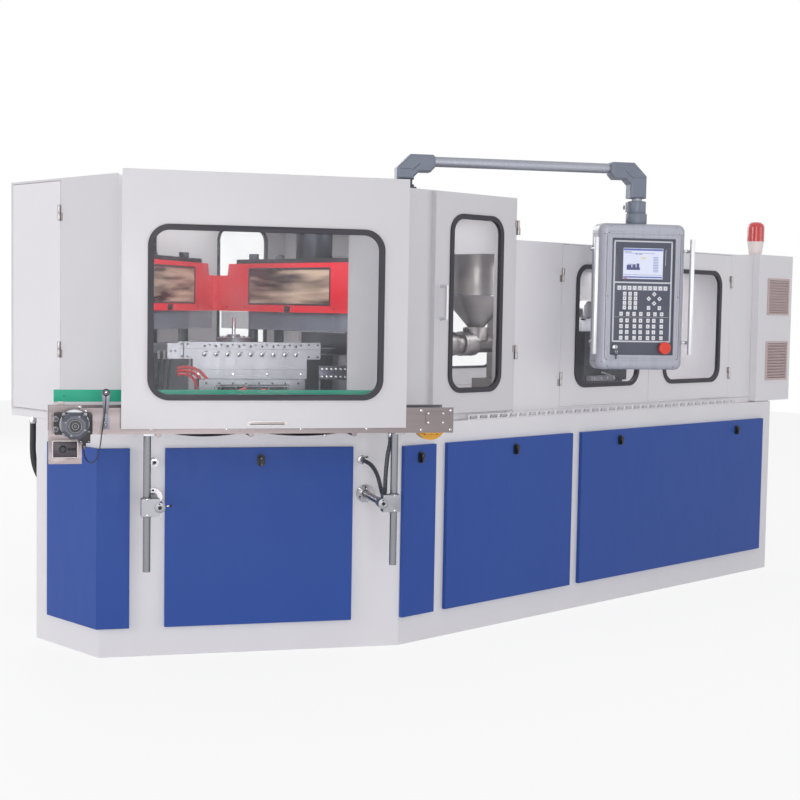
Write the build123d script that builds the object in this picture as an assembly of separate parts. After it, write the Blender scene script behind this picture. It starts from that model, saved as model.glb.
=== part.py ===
"""Three-station injection blow moulding machine: base, guards, turret, clamps, conveyor and panel.

The origin is the centre of the base footprint on the floor. +X runs along the machine from the
pointed nose to the electrical cabinet, +Y to its rear, +Z up. All sizes are in millimetres.
"""
import os
from math import atan2, cos, degrees, radians, sin, sqrt, tan

from build123d import *

os.makedirs("parts", exist_ok=True)

# Base
side_length = 3030.0
base_width = 1800.0
nose_width = 500.0
chamfer_turn = 60.0
base_height = 980.0
base_wall = 8.0
base_floor = 8.0
base_top = 10.0
post_height = base_height - base_floor - base_top
manhole_width = 640.0
manhole_height = 520.0

# Lift-off covers of the base
cover_low = 125.0
cover_head = 94.0
cover_proud = 20.0
cover_sheet = 3.0
cover_lap = 28.0
cover_gap_narrow = 74.0
cover_gap_long = 71.0
narrow_cover_start = 4.0
narrow_cover_width = 201.0
mid_cover_width = 900.0
long_cover_width = 1680.0
chamfer_cover_margin_left = 272.0
chamfer_cover_margin_right = 218.0
corner_cover_width = 125.0
corner_cover_nose_width = 119.0

# Quarter-turn latches of the covers
latch_drop = 54.0
latch_width = 34.0
latch_length = 52.0
latch_plate = 4.0
latch_lever = 11.0

# Deck under the round table
deck_thick = 30.0
deck_inset = 2.0
housing_out = 190.0
side_setback = 45.0
shaft_radius = 60.0
shaft_hole = 130.0
shaft_foot = 40.0
guide_radius = 92.0
guide_drop = 80.0
guide_long = 260.0

# Guards of sheet metal
guard_sheet = 4.0
tall_rise = 1010.0
low_rise = 813.0
tall_end = -160.0
cabinet_start = 1920.0
cabinet_end = 2280.0
cabinet_rise = 850.0
plinth_height = 6.0
plinth_inset = 12.0
passage_margin = 135.0
passage_head = 260.0

# Slotted foot rail of the low guard
foot_width = 40.0
rail_height = 25.0
rail_start = -515.0
rail_end = 1735.0
rail_pitch = 70.0
rail_slot = 54.0
rail_sheet = 3.0

# Windows
corner_round = 85.0
gasket_width = 23.0
gasket_lap = 9.0
gasket_proud = 7.0
gasket_depth = 12.0
pane_thick = 5.0
pane_bite = 7.0
pane_set = 3.0

# Gate over the conveyor at the stripping station
gate_centre = -14.0
gate_width = 1147.0
gate_lap = 7.0
gate_drop = 8.0
gate_front = 420.0
gate_notch_tall = 297.0
gate_window_width = 948.0
gate_window_sill = 112.0
gate_window_head = 208.0
gate_opening = 1060.0
pull_width = 149.0
pull_rise = 20.0
door_gap = 0.3

# Doors
door_sheet = 3.0
tall_door_left = -737.0
tall_door_right = -190.0
tall_door_rise = 4.0
tall_door_drop = 4.0
tall_door_deep = 25.0
tall_window_width = 360.0
tall_window_sill = 93.0
tall_window_head = 93.0
service_left = 190.0
service_seam = 931.0
service_right = 1694.0
service_rise = 6.0
service_drop = 8.0
service_deep = 25.0
service_window_width = 540.0
service_window_sill = 89.0
service_window_head = 90.0
left_window_centre = 571.0
right_window_centre = 1328.0
reveal = 2.0
nose_door_left = -452.0
nose_door_right = -58.0
nose_door_rise = 8.0
nose_door_drop = 12.0
end_door_margin = 60.0
end_door_lip = 30.0
end_door_deep = 22.0
end_hinge_inset = 200.0
end_grip_inset = 40.0
end_grip_width = 26.0
end_grip_rise = 380.0
end_grip_long = 120.0

# Hinges
hinge_height = 67.0
hinge_leaf = 18.0
hinge_sheet = 3.0
hinge_radius = 6.0
hinge_pin = 3.0
running_gap = 0.06
tall_hinge_low = 276.0
tall_hinge_drop = 137.0
service_hinge_low = 136.0
service_hinge_drop = 149.0
nose_hinge_low = 270.0
nose_hinge_drop = 136.0
gate_hinges = (-420.0, 0.0, 420.0)

# Door handle
handle_rise = 426.0
handle_long = 157.0
handle_inset = 42.0
handle_reach = 40.0
handle_radius = 5.5

# Panel arm
mast_x = -595.0
mast_inset = 334.0
arm_turn = -32.5
arm_length = 1165.0
mast_plinth_rise = 40.0
mast_flange_thick = 10.0
mast_neck_long = 23.0
tube_radius = 24.0
elbow_half = 40.0
elbow_outer = 36.0
elbow_inner = 46.0
elbow_reach = 147.0
elbow_top = 30.0
elbow_drop = 52.0
elbow_shoulder = 64.0
elbow_round = 11.0
mast_leg = 88.0
hanger_leg = 141.0
plinth_side = 90.0
mast_flange = 52.0
mast_neck = 44.0
mast_pin = 22.0
neck_radius = 25.0
coupling_tall = 61.0
neck_show = 13.0
coupling_radius = 45.0
collar_tall = 50.0
collar_radius = 51.0

# Operator panel
panel_width = 440.0
panel_tall = 705.0
panel_back = -71.0
panel_front = 85.0
panel_round = 42.0
panel_cap_round = 34.0
panel_shift = 12.0
recess_width = 324.0
recess_sill = 71.0
recess_tall = 563.0
recess_depth = 10.0
screen_width = 204.0
screen_sill = 368.0
screen_tall = 148.0
side_handle_out = 245.0
side_handle_front = 95.0
side_handle_radius = 12.0
side_handle_rise = 75.0
side_handle_long = 559.0
standoff_rise = 58.0
standoff_drop = 55.0
stop_across = 115.5
stop_rise = 35.0
stop_radius = 30.0
stop_travel = 4.0
key_across = -135.0
key_rise = 38.0
key_wide = 17.0
key_high = 19.0
key_proud = 1.2
key_arrow = 12.0
soft_key_start = -118.8
soft_key_pitch = 26.3
soft_key_count = 10
soft_key_rise = 324.0
pad_places = (-90.2, -62.6, -34.4)
pad_rise = 295.7
pad_pitch = 22.1
pad_rows = 4
pair_places = (33.7, 89.5)
pair_rise = 229.0
mode_places = (-105.9, -72.1, -39.7, -5.1, 33.7, 67.8, 102.0)
mode_rise = 198.9
hand_places = (-105.0, -74.6, -36.6, -5.7, 32.6, 62.5, 102.0)
hand_rise = 166.8
hand_pitch = 27.9
hand_rows = 4
arrow_across = (61.6, 33.7, 88.9, 61.6)
arrow_rises = (295.6, 273.4, 273.4, 251.1)

# Signal beacon
beacon_x = 2026.0
beacon_inset = 100.0
beacon_radius = 49.0
beacon_base_height = 78.0
beacon_dome_height = 115.0

# Grilles of the cabinet
grille_left = 2010.0
grille_right = 2243.0
grille_low = 124.0
grille_tall = 227.0
upper_grille_low = 503.0
upper_grille_tall = 214.0
grille_slats = 12
grille_frame = 12.0

# Conveyor, measured along the chamfer and out from it
belt_left = -862.0
belt_right = 768.0
plate_drop = 46.0
plate_rise = 58.0
plate_near = 222.0
plate_far = 398.0
plate_thick = 6.0
end_plate_right = -736.0
end_plate_rise = 10.0
end_plate_drop = 114.0
roller_rise = 16.0
roller_radius = 32.0
roller_gap = 0.3
roller_shaft = 10.0
drive_place = -766.0
tail_place = 700.0
belt_thick = 3.0
belt_edge = 18.0
idler_places = (-440.0, -72.0, 350.0)
idler_radius = 12.0
belt_sag_drop = 58.0
spacer_places = (-600.0, -250.0, 140.0, 520.0)
spacer_side = 30.0
tail_cover_start = 119.0
tail_cover_end = 33.0
tail_cover_drop = 12.0
tail_cover_rise = 42.0
tail_cover_thick = 4.0
guard_rise = 13.0
guard_tall = 48.0
guard_left = -840.0
guard_right = 500.0
disc_guard_place = 685.0
disc_guard_radius = 62.0
disc_guard_near = 68.0
disc_guard_back = 48.0
disc_guard_hang = 35.0
gearbox_left = -842.0
gearbox_right = -698.0
gearbox_drop = 42.0
gearbox_rise = 41.0
gearbox_deep = 52.0
motor_radius = 44.0
fan_cover_half = 50.0
motor_front = 562.0
fan_cover_deep = 52.0
dial_inset = 54.0
dial_rise = 57.0
dial_radius = 11.0
dial_proud = 10.0
connector_rise = 69.0
connector_back = 26.0
connector_radius = 7.0
connector_down = 13.0
connector_up = 8.0
sensor_place = -645.0
sensor_rise = 62.0
sensor_eye_radius = 11.0
sensor_sheet = 3.0
sensor_foot_drop = 26.0
sensor_foot_rise = 26.0
sensor_foot_half = 15.0
sensor_strip_half = 8.0

# Supports of the conveyor
support_margin_left = 222.0
support_margin_right = 159.0
support_drop = 207.0
support_flange = 39.0
support_arm = 15.0
support_reach = 310.0
support_boss = 21.0
rod_offset = 50.0
rod_radius = 15.0
rod_long = 261.0
rod_foot = 6.0
rod_bar = 44.0
clamp_height = 71.0
clamp_side = 46.0

# Glands and hose fitting
gland_margin_left = 226.0
gland_margin_right = 176.0
gland_drop = 58.0
gland_radius = 19.0
gland_long = 26.0
conduit_radius = 9.0
socket_long = 20.0
socket_radius = 11.0
hose_radius = 14.0
hose_margin = 188.0
hose_out = 125.0
fitting_long = 42.0
fitting_radius = 18.0

# Turret and stations
core_rise = 280.0
core_radius = 9.0
core_count = 9
core_pitch = 50.0
core_length = 150.0
turret_reach = 300.0
turret_half = 280.0
turret_half_thick = 22.0
turret_lift = 30.0
hub_radius = 82.0
hub_height = 28.0
station_near = 350.0
station_far = 640.0
platen_half = 430.0
platen_thick = 60.0
station_bed = 50.0
tie_nut = 30.0
cylinder_end = 20.0
piston_head_gap = 60.0
mould_half = 300.0
mould_near = 360.0
mould_far = 560.0
cavity_radius = 15.0
clamp_travel = 110.0
mould_height = 110.0
tie_radius = 25.0
tie_across = 390.0
tie_near = 430.0
tie_far = 600.0
top_platen_rise = 650.0
cylinder_radius = 90.0
cylinder_bore = 70.0
cylinder_drop = 60.0
piston_radius = 35.0
hood_half = 540.0
hood_rise = 450.0
hood_tall = 238.0
hood_reach = 330.0
hood_sheet = 3.0
hood_step = 62.0
hood_slant = 12.0
hood_pane = 3.0
hood_shoulder_drop = 58.0
hood_window_sill = 42.0
hood_window_head = 30.0
hood_window_half = 300.0

# Stripper
strip_near = 505.0
strip_plate = 25.0
strip_half = 310.0
strip_drop = 32.0
strip_tall = 73.0
strip_block_half = 250.0
strip_block_tall = 86.0
strip_frame_half = 230.0
strip_frame_rise = 50.0
strip_leg = 70.0

# Injection unit
barrel_rise = 10.0
barrel_radius = 50.0
band_radius = 66.0
screw_radius = 30.0
nozzle_long = 60.0
barrel_end = 760.0
band_count = 6
band_long = 110.0
hopper_place = 500.0
hopper_radius = 190.0
hopper_rise = 490.0
hopper_cone_rise = 260.0
hopper_throat = 45.0
carriage_end = 1300.0
carriage_half = 170.0
slide_bed_tall = 120.0
slide_bed_extra = 200.0
screw_drive_long = 260.0
screw_drive_wide = 300.0
screw_drive_tall = 420.0
screw_motor_radius = 110.0
screw_motor_long = 240.0
manifold_rise = 60.0

# Power pack in the base
tank_start = 420.0
tank_end = 1500.0
tank_half = 520.0
tank_height = 430.0
pump_motor_radius = 120.0
pump_motor_long = 420.0

# Values worked out from the sizes above
turn_cos = cos(radians(chamfer_turn))
turn_sin = sin(radians(chamfer_turn))
base_half = base_width / 2
nose_half = nose_width / 2
chamfer_run = (base_half - nose_half) * tan(radians(chamfer_turn))
base_length = side_length + chamfer_run
nose_x = -base_length / 2
base_end = base_length / 2
corner_x = nose_x + chamfer_run
chamfer_mid_x = nose_x + chamfer_run / 2
chamfer_mid_y = (base_half + nose_half) / 2
strip_turn = 180 + chamfer_turn
blow_turn = 180 - chamfer_turn
turret_x = chamfer_mid_x + chamfer_mid_y / tan(radians(chamfer_turn))
housing_half = base_half - side_setback
chamfer_half = (base_half - nose_half) / turn_cos / 2
chamfer_cover_left = -chamfer_half + chamfer_cover_margin_left
chamfer_cover_right = chamfer_half - chamfer_cover_margin_right
corner_cover_start = -chamfer_half + corner_cover_width
corner_cover_nose = nose_half - corner_cover_nose_width
mast_y = -housing_half + mast_inset
beacon_y = -base_half + beacon_inset
passage_half = housing_half - passage_margin
end_door_half = base_half - end_door_margin
hose_along = chamfer_half - hose_margin
support_places = (-chamfer_half + support_margin_left, chamfer_half - support_margin_right)
gland_places = (-chamfer_half + gland_margin_left, chamfer_half - gland_margin_right)
deck_top = base_height + deck_thick
tall_top = deck_top + tall_rise
arm_height = tall_top + mast_plinth_rise + mast_flange_thick + mast_neck_long + mast_leg
coupling_high = arm_height - hanger_leg - neck_show
coupling_low = coupling_high - coupling_tall
collar_low = coupling_low - collar_tall
panel_low = collar_low - panel_tall
recess_low = panel_low + recess_sill
recess_high = recess_low + recess_tall
screen_low = recess_low + screen_sill
screen_high = screen_low + screen_tall
side_handle_low = panel_low + side_handle_rise
side_handle_high = side_handle_low + side_handle_long
stop_height = recess_low + stop_rise
key_height = recess_low + key_rise
low_top = deck_top + low_rise
cabinet_top = base_height + cabinet_rise
passage_top = tall_top - passage_head
gate_low = deck_top - gate_lap
gate_high = tall_top - gate_drop
gate_notch = gate_low + gate_notch_tall
gate_window_low = gate_low + gate_window_sill
gate_window_high = gate_high - gate_window_head
pull_height = gate_low + pull_rise
tall_door_low = deck_top + tall_door_rise
tall_door_high = tall_top - tall_door_drop
tall_window_low = tall_door_low + tall_window_sill
tall_window_high = tall_door_high - tall_window_head
service_low = deck_top + service_rise
service_high = low_top - service_drop
service_window_low = service_low + service_window_sill
service_window_high = service_high - service_window_head
nose_door_low = deck_top + nose_door_rise
nose_door_high = tall_top - nose_door_drop
handle_low = tall_door_low + handle_rise
handle_high = handle_low + handle_long
cover_high = base_height - cover_head
latch_height = cover_high - latch_drop
guide_top = base_height - guide_drop
guide_bottom = guide_top - guide_long
shaft_low = guide_bottom + shaft_foot
support_height = cover_high - support_drop
gland_height = cover_high - gland_drop
rod_low = support_height - rod_long
roller_height = deck_top + roller_rise
plate_low = roller_height - plate_drop
plate_high = roller_height + plate_rise
end_plate_high = plate_high + end_plate_rise
end_plate_low = plate_low - end_plate_drop
belt_sag = roller_height - belt_sag_drop
guard_low = plate_high + guard_rise
guard_high = guard_low + guard_tall
disc_guard_drop = plate_low - disc_guard_hang
gearbox_low = roller_height - gearbox_drop
gearbox_high = roller_height + gearbox_rise
sensor_eye = plate_high + sensor_rise
core_height = deck_top + core_rise
top_platen_low = deck_top + top_platen_rise
cylinder_top = tall_top - cylinder_drop
hood_low = deck_top + hood_rise
hood_high = hood_low + hood_tall
hood_shoulder = hood_high - hood_shoulder_drop
hood_window_low = hood_low + hood_window_sill
hood_window_high = hood_high - hood_window_head
strip_low = core_height - strip_drop
strip_high = strip_low + strip_tall
strip_block_low = strip_low - strip_block_tall
strip_frame_low = deck_top + strip_frame_rise
barrel_height = core_height + barrel_rise
hopper_top = barrel_height + hopper_rise
hopper_cone = barrel_height + hopper_cone_rise
manifold_top = barrel_height + manifold_rise
tall_hinges = (tall_door_low + tall_hinge_low, tall_door_high - tall_hinge_drop)
service_hinges = (service_low + service_hinge_low, service_high - service_hinge_drop)
nose_hinges = (nose_door_low + nose_hinge_low, nose_door_high - nose_hinge_drop)
standoff_heights = (side_handle_low + standoff_rise, side_handle_high - standoff_drop)
grille_bands = [(base_height + low, base_height + low + tall) for low, tall in
                ((grille_low, grille_tall), (upper_grille_low, upper_grille_tall))]


def wall_plane(x, y, turn):
    """Upright plane on the floor point (x, y): local x to the right, y up, z outwards."""
    normal = (cos(radians(turn)), sin(radians(turn)), 0)
    return Plane(origin=(x, y, 0), x_dir=(-normal[1], normal[0], 0), z_dir=normal)


side = wall_plane(0, -base_half, -90)
rear_side = wall_plane(0, base_half, 90)
chamfer = wall_plane(chamfer_mid_x, -chamfer_mid_y, strip_turn)
rear_chamfer = wall_plane(chamfer_mid_x, chamfer_mid_y, blow_turn)
nose = wall_plane(nose_x, 0, 180)
cabinet_face = wall_plane(cabinet_end, 0, 0)


def station(turn):
    """Upright plane through the turret axis, facing the station at this plan angle."""
    return wall_plane(turret_x, 0, turn)


def block(plane, left, right, low, high, near, far):
    middle = Pos((left + right) / 2, (low + high) / 2, (near + far) / 2)
    return plane.location * middle * Box(right - left, high - low, far - near)


def slab(plane, left, right, low, high, near, far, radius):
    """Plate parallel to the plane with rounded corners."""
    outline = RectangleRounded(right - left, high - low, radius)
    middle = Pos((left + right) / 2, (low + high) / 2, near)
    return plane.location * middle * extrude(outline, far - near)


def spigot(plane, across, height, near, far, radius):
    """Cylinder that stands out of the plane."""
    return plane.location * Pos(across, height, (near + far) / 2) * Cylinder(radius, far - near)


def cross_rod(plane, height, out, left, right, radius):
    """Cylinder that lies along the plane."""
    middle = Pos((left + right) / 2, height, out)
    return plane.location * middle * Rot(0, 90, 0) * Cylinder(radius, right - left)


def column(x, y, low, high, radius):
    return Pos(x, y, (low + high) / 2) * Cylinder(radius, high - low)


def plane_column(plane, across, out, low, high, radius):
    """Upright cylinder at a place given in the plane's own measures."""
    spot = plane.from_local_coords(Vector(across, 0, out))
    return column(spot.X, spot.Y, low, high, radius)


def to_rear(shape):
    return mirror(shape, about=Plane.XZ)


def plates_of(shell, *regions):
    """Plates that a shell is welded from: what lies in each region in turn, then what is left."""
    plates = []
    for region in regions:
        plates += (shell & region).solids()
        shell = shell - region
    return plates + shell.solids()


def solids_of(shapes):
    found = []
    for shape in shapes:
        found.extend(shape.solids())
    return found


def save(name, *shapes):
    pieces = solids_of(shapes)
    whole = pieces[0] if len(pieces) == 1 else Compound(pieces)
    export_step(whole, f"parts/{name}.step")


def outline(front_x, half, out, end_x):
    """Plan of the machine: a rectangle whose nose corners are cut off at the chamfer angle."""
    nose_y = base_half + (out + turn_cos * (front_x - corner_x)) / turn_sin
    cut_x = corner_x - (out - turn_sin * (base_half - half)) / turn_cos
    lower = [(front_x, -nose_y), (cut_x, -half), (end_x, -half)]
    upper = [(x, -y) for x, y in reversed(lower)]
    return lower + upper


def prism(points, low, high):
    return Pos(0, 0, low) * extrude(Polygon(*points, align=None), high - low)


def hinge(plane, across, height, front, fixed_side, packer=0.0):
    """Butt hinge on an upright axis: gives the fixed leaf with its pin, and the moving leaf."""
    out = front + packer + hinge_radius + door_gap
    low = height - hinge_height / 2
    high = height + hinge_height / 2
    fixed_ends = sorted((across, across + fixed_side * hinge_leaf))
    moving_ends = sorted((across, across - fixed_side * hinge_leaf))
    fixed = block(plane, *fixed_ends, low, height - door_gap, front, front + packer + hinge_sheet)
    fixed += plane_column(plane, across, out, low, height - door_gap, hinge_radius)
    fixed += plane_column(plane, across, out, low, high, hinge_pin)
    seat = front + packer
    moving = block(plane, *moving_ends, height, high, seat, seat + hinge_sheet)
    moving += plane_column(plane, across, out, height, high, hinge_radius)
    moving -= plane_column(plane, across, out, low, high + 1, hinge_pin + running_gap)
    return fixed, moving


def window(plane, centre, width, low, high, front):
    """Cut for the sheet, rubber gasket and clear pane of a rounded window."""
    left = centre - width / 2
    right = centre + width / 2
    lap = gasket_lap
    rim = gasket_width
    cut = slab(plane, left + lap, right - lap, low + lap, high - lap, front - 200, front + 50,
               corner_round - lap)
    lip = slab(plane, left, right, low, high, front, front + gasket_proud, corner_round)
    core = slab(plane, left + lap, right - lap, low + lap, high - lap, front - gasket_depth, front,
                corner_round - lap)
    hole = slab(plane, left + rim, right - rim, low + rim, high - rim, front - 50, front + 50,
                corner_round - rim)
    bite = rim - pane_bite
    pane = slab(plane, left + bite, right - bite, low + bite, high - bite,
                front - pane_set - pane_thick, front - pane_set, corner_round - bite)
    gasket = lip + core - hole - pane
    return cut, gasket, pane


def pan(plane, left, right, low, high, near, far, sheet):
    """Sheet with its four edges turned back, open towards the plane."""
    body = block(plane, left, right, low, high, near, far)
    inside = block(plane, left + sheet, right - sheet, low + sheet, high - sheet, near - 1, far - sheet)
    return body - inside


def base_openings(plane, left, right):
    return block(plane, left + cover_lap, right - cover_lap, cover_low + cover_lap,
                 cover_high - cover_lap, -2 * base_wall, 5)


narrow_left = corner_x + narrow_cover_start
narrow_right = narrow_left + narrow_cover_width
mid_left = narrow_right + cover_gap_narrow
mid_right = mid_left + mid_cover_width
long_left = mid_right + cover_gap_long
long_right = long_left + long_cover_width
side_covers = ((narrow_left, narrow_right), (mid_left, mid_right), (long_left, long_right))


def corner_region(low, high, lap):
    """Space over the folded corner cover, less a lap on its free edges."""
    chamfer_part = block(chamfer, -base_half, corner_cover_start - lap, low + lap, high - lap,
                         -2 * base_wall, 4 * cover_proud)
    nose_part = block(nose, -corner_cover_nose + lap, base_half, low + lap, high - lap,
                      -2 * base_wall, 4 * cover_proud)
    return chamfer_part, nose_part


def build_base():
    frame = prism(outline(nose_x, base_half, 0, base_end), 0, base_height)
    inner = outline(nose_x + base_wall, base_half - base_wall, -base_wall, base_end - base_wall)
    frame -= prism(inner, base_floor, base_height - base_top)
    bulkheads = ((narrow_right + mid_left) / 2, (mid_right + long_left) / 2)
    for centre in bulkheads:
        bulkhead = Pos(centre, 0, base_floor + post_height / 2)
        web = Box(base_wall, base_width - base_wall, post_height)
        web -= Box(2 * base_wall, manhole_width, manhole_height)
        frame += bulkhead * web
    for left, right in side_covers:
        cut = base_openings(side, left, right)
        frame -= cut
        frame -= to_rear(cut)
    cut = base_openings(chamfer, chamfer_cover_left, chamfer_cover_right)
    frame -= cut
    frame -= to_rear(cut)
    corner_post = 40.0
    cut = block(chamfer, -chamfer_half + corner_post, corner_cover_start - cover_lap,
                cover_low + cover_lap, cover_high - cover_lap, -2 * base_wall, 5)
    frame -= cut
    cut = block(nose, -corner_cover_nose + cover_lap, nose_half - corner_post,
                cover_low + cover_lap, cover_high - cover_lap, -2 * base_wall, 5)
    frame -= cut
    frame -= column(turret_x, 0, base_height - 2 * base_top, base_height + 1, shaft_hole)
    guide = column(turret_x, 0, base_floor, guide_top, guide_radius)
    guide -= column(turret_x, 0, guide_bottom, guide_top + 1, shaft_radius + running_gap)
    everywhere = 2 * base_length
    wall = (-everywhere, everywhere, 0, base_height, -base_wall, 1)
    floor = Pos(0, 0, base_floor / 2) * Box(everywhere, everywhere, base_floor)
    top = Pos(0, 0, base_height - base_top / 2) * Box(everywhere, everywhere, base_top)
    webs = [Pos(centre, 0, base_height / 2) * Box(base_wall, everywhere, base_height)
            for centre in bulkheads]
    end = Pos(base_end, 0, base_height / 2) * Box(2 * base_wall, everywhere, base_height)
    plates = plates_of(frame, floor, top, block(side, *wall), block(rear_side, *wall), end, *webs,
                       block(chamfer, *wall), block(rear_chamfer, *wall))
    save("base_frame", *plates, guide)



def corner_cover():
    """Cover folded round the nose corner, with its edges turned back to the base."""
    full = (outline(nose_x - cover_proud, base_half, cover_proud, base_end))
    skin = (outline(nose_x - cover_proud + cover_sheet, base_half, cover_proud - cover_sheet, base_end))
    base = (outline(nose_x, base_half, 0, base_end))
    body = prism(full, cover_low, cover_high) - prism(base, 0, base_height)
    inside = prism(skin, cover_low, cover_high) - prism(base, 0, base_height)
    outer = corner_region(cover_low, cover_high, 0)
    inner = corner_region(cover_low, cover_high, cover_sheet)
    body = body & (outer[0] + outer[1])
    inside = inside & (inner[0] + inner[1])
    return body - inside


def latch(plane, across):
    """Escutcheon with a slanted lever."""
    low = latch_height - latch_length / 2
    front = cover_proud + latch_plate
    plate = slab(plane, across - latch_width / 2, across + latch_width / 2, low, low + latch_length,
                 cover_proud, front, latch_width / 2 - 1)
    lever = Pos(0, -6, 0) * Box(latch_lever, latch_length * 0.62, 14)
    hub = Pos(0, 8, 0) * Cylinder(11, 14)
    grip = plane.location * Pos(across, latch_height, front + 7) * (lever + hub)
    return plate + grip


def build_covers():
    front = [pan(side, left, right, cover_low, cover_high, 0, cover_proud, cover_sheet)
             for left, right in side_covers]
    front.append(pan(chamfer, chamfer_cover_left, chamfer_cover_right, cover_low, cover_high, 0,
                     cover_proud, cover_sheet))
    front.append(corner_cover())
    rear = [to_rear(cover) for cover in front[:-1]]
    save("base_covers", *front, *rear)
    places = ((narrow_left + narrow_right) / 2, mid_left + mid_cover_width * 0.52,
              long_left + long_cover_width * 0.186, long_left + long_cover_width * 0.832)
    latches = [latch(side, place) for place in places]
    latches.append(latch(chamfer, (chamfer_cover_left + chamfer_cover_right) / 2))
    latches += [to_rear(piece) for piece in latches]
    save("cover_latches", *latches)


def build_deck():
    plan = outline(nose_x + deck_inset, housing_half - deck_inset, housing_out - deck_inset, tall_end)
    deck = prism(plan, base_height, deck_top)
    deck -= column(turret_x, 0, base_height - 1, deck_top + 1, shaft_hole)
    save("machine_deck", deck)


wall_front = -side_setback


def rear_windows():
    """Fixed windows of the rear walls: cuts, gaskets and panes."""
    tall_centre = (tall_door_left + tall_door_right) / 2
    sets = [window(rear_chamfer, -gate_centre, gate_window_width, gate_window_low, gate_window_high,
                   housing_out),
            window(rear_side, -tall_centre, tall_window_width, tall_window_low, tall_window_high,
                   wall_front),
            window(rear_side, -left_window_centre, service_window_width, service_window_low,
                   service_window_high, wall_front),
            window(rear_side, -right_window_centre, service_window_width, service_window_low,
                   service_window_high, wall_front)]
    return sets


def build_tall_housing():
    shell = prism(outline(nose_x, housing_half, housing_out, tall_end), deck_top, tall_top)
    inner = outline(nose_x + guard_sheet, housing_half - guard_sheet, housing_out - guard_sheet,
                    tall_end - guard_sheet)
    shell -= prism(inner, deck_top - 1, tall_top - guard_sheet)
    shell -= block(chamfer, gate_centre - gate_opening / 2, gate_centre + gate_opening / 2,
                   deck_top - 1, gate_high - 40, 100, housing_out + 5)
    shell -= block(side, tall_door_left + 25, tall_door_right - 25, tall_door_low + 20,
                   tall_door_high - 20, wall_front - 60, wall_front + 5)
    shell -= block(nose, nose_door_left - reveal, nose_door_right + reveal, nose_door_low - reveal,
                   nose_door_high + reveal, -60, 5)
    passage = Pos(tall_end, 0, (deck_top + passage_top) / 2)
    shell -= passage * Box(4 * guard_sheet, 2 * passage_half, passage_top - deck_top)
    windows = rear_windows()
    for cut, gasket, pane in windows[:2]:
        shell -= cut
    save("tall_housing", shell)


def foot_rail():
    """Angle under the front of the low guard, with a row of slots in its upright flange."""
    low = base_height
    flange_back = wall_front + foot_width
    seat = block(side, tall_end, cabinet_start, low, deck_top, wall_front - foot_width, wall_front)
    ledge = block(side, rail_start, rail_end, low, low + rail_sheet, wall_front, flange_back)
    upright = block(side, rail_start, rail_end, low, low + rail_height, flange_back - rail_sheet,
                    flange_back)
    slots = int((rail_end - rail_start) / rail_pitch)
    for index in range(slots):
        left = rail_start + (index + 0.5) * rail_pitch - rail_slot / 2
        upright -= block(side, left, left + rail_slot, low + rail_sheet + 2, low + rail_height - 4,
                         wall_front, flange_back + 5)
    return seat, ledge + upright


def build_low_housing():
    half = housing_half
    length = cabinet_start - tall_end
    middle_x = (cabinet_start + tall_end) / 2
    shell = Pos(middle_x, 0, (deck_top + low_top) / 2) * Box(length, 2 * half, low_top - deck_top)
    inside = Box(length + 10, 2 * (half - guard_sheet), low_top - deck_top)
    shell -= Pos(middle_x, 0, (deck_top + low_top) / 2 - guard_sheet) * inside
    cut = block(side, service_left - reveal, service_right + reveal, service_low - reveal,
                service_high + reveal, wall_front - 20, wall_front + 5)
    shell -= cut
    windows = rear_windows()
    for cut, gasket, pane in windows[2:]:
        shell -= cut
    seat, rail = foot_rail()
    roof = Pos(middle_x, 0, low_top - guard_sheet / 2) * Box(length + 10, 2 * half + 10, guard_sheet)
    front = Pos(middle_x, -half, (deck_top + low_top) / 2) * Box(length + 10, 2 * guard_sheet,
                                                                  low_top - deck_top)
    plates = plates_of(shell, roof, front)
    save("low_housing", *plates, seat, to_rear(seat), rail, to_rear(rail))


def build_rear_windows():
    pieces = []
    for cut, gasket, pane in rear_windows():
        pieces += [gasket, pane]
    save("rear_windows", *pieces)


def build_cabinet():
    half = base_half
    centre_x = (cabinet_start + cabinet_end) / 2
    low = base_height + plinth_height
    height = cabinet_top - low
    width = cabinet_end - cabinet_start
    body = Pos(centre_x, 0, low + height / 2) * Box(width, 2 * half, height)
    hollow = Box(width - 2 * guard_sheet, 2 * (half - guard_sheet), height - 2 * guard_sheet)
    body -= Pos(centre_x, 0, low + height / 2) * hollow
    body -= block(cabinet_face, -end_door_half + 25, end_door_half - 25, low + 60, cabinet_top - 60,
                  -20, 5)
    for band_low, band_high in grille_bands:
        cut = block(side, grille_left + grille_frame, grille_right - grille_frame,
                    band_low + grille_frame, band_high - grille_frame, -20, 5)
        body -= cut
        body -= to_rear(cut)
    seat = base_end - cabinet_start - plinth_inset
    plinth = Box(seat, 2 * (half - plinth_inset), plinth_height)
    body += Pos(cabinet_start + plinth_inset + seat / 2, 0, base_height + plinth_height / 2) * plinth
    save("end_cabinet", body)
    door = pan(cabinet_face, -end_door_half, end_door_half, low + end_door_lip,
               cabinet_top - end_door_lip, door_gap, door_gap + end_door_deep, door_sheet)
    fixed_leaves = []
    moving_leaves = []
    for height in (low + end_hinge_inset, cabinet_top - end_hinge_inset):
        fixed, moving = hinge(cabinet_face, end_door_half + hinge_radius, height, 0, 1,
                              door_gap + end_door_deep)
        fixed_leaves.append(fixed)
        moving_leaves.append(moving)
    front = door_gap + end_door_deep
    grip_left = -end_door_half + end_grip_inset
    grip = slab(cabinet_face, grip_left, grip_left + end_grip_width, base_height + end_grip_rise,
                base_height + end_grip_rise + end_grip_long, front, front + end_grip_width / 2 - 1,
                end_grip_width / 2 - 1)
    save("cabinet_door", door, grip, *moving_leaves)
    return fixed_leaves


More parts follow.
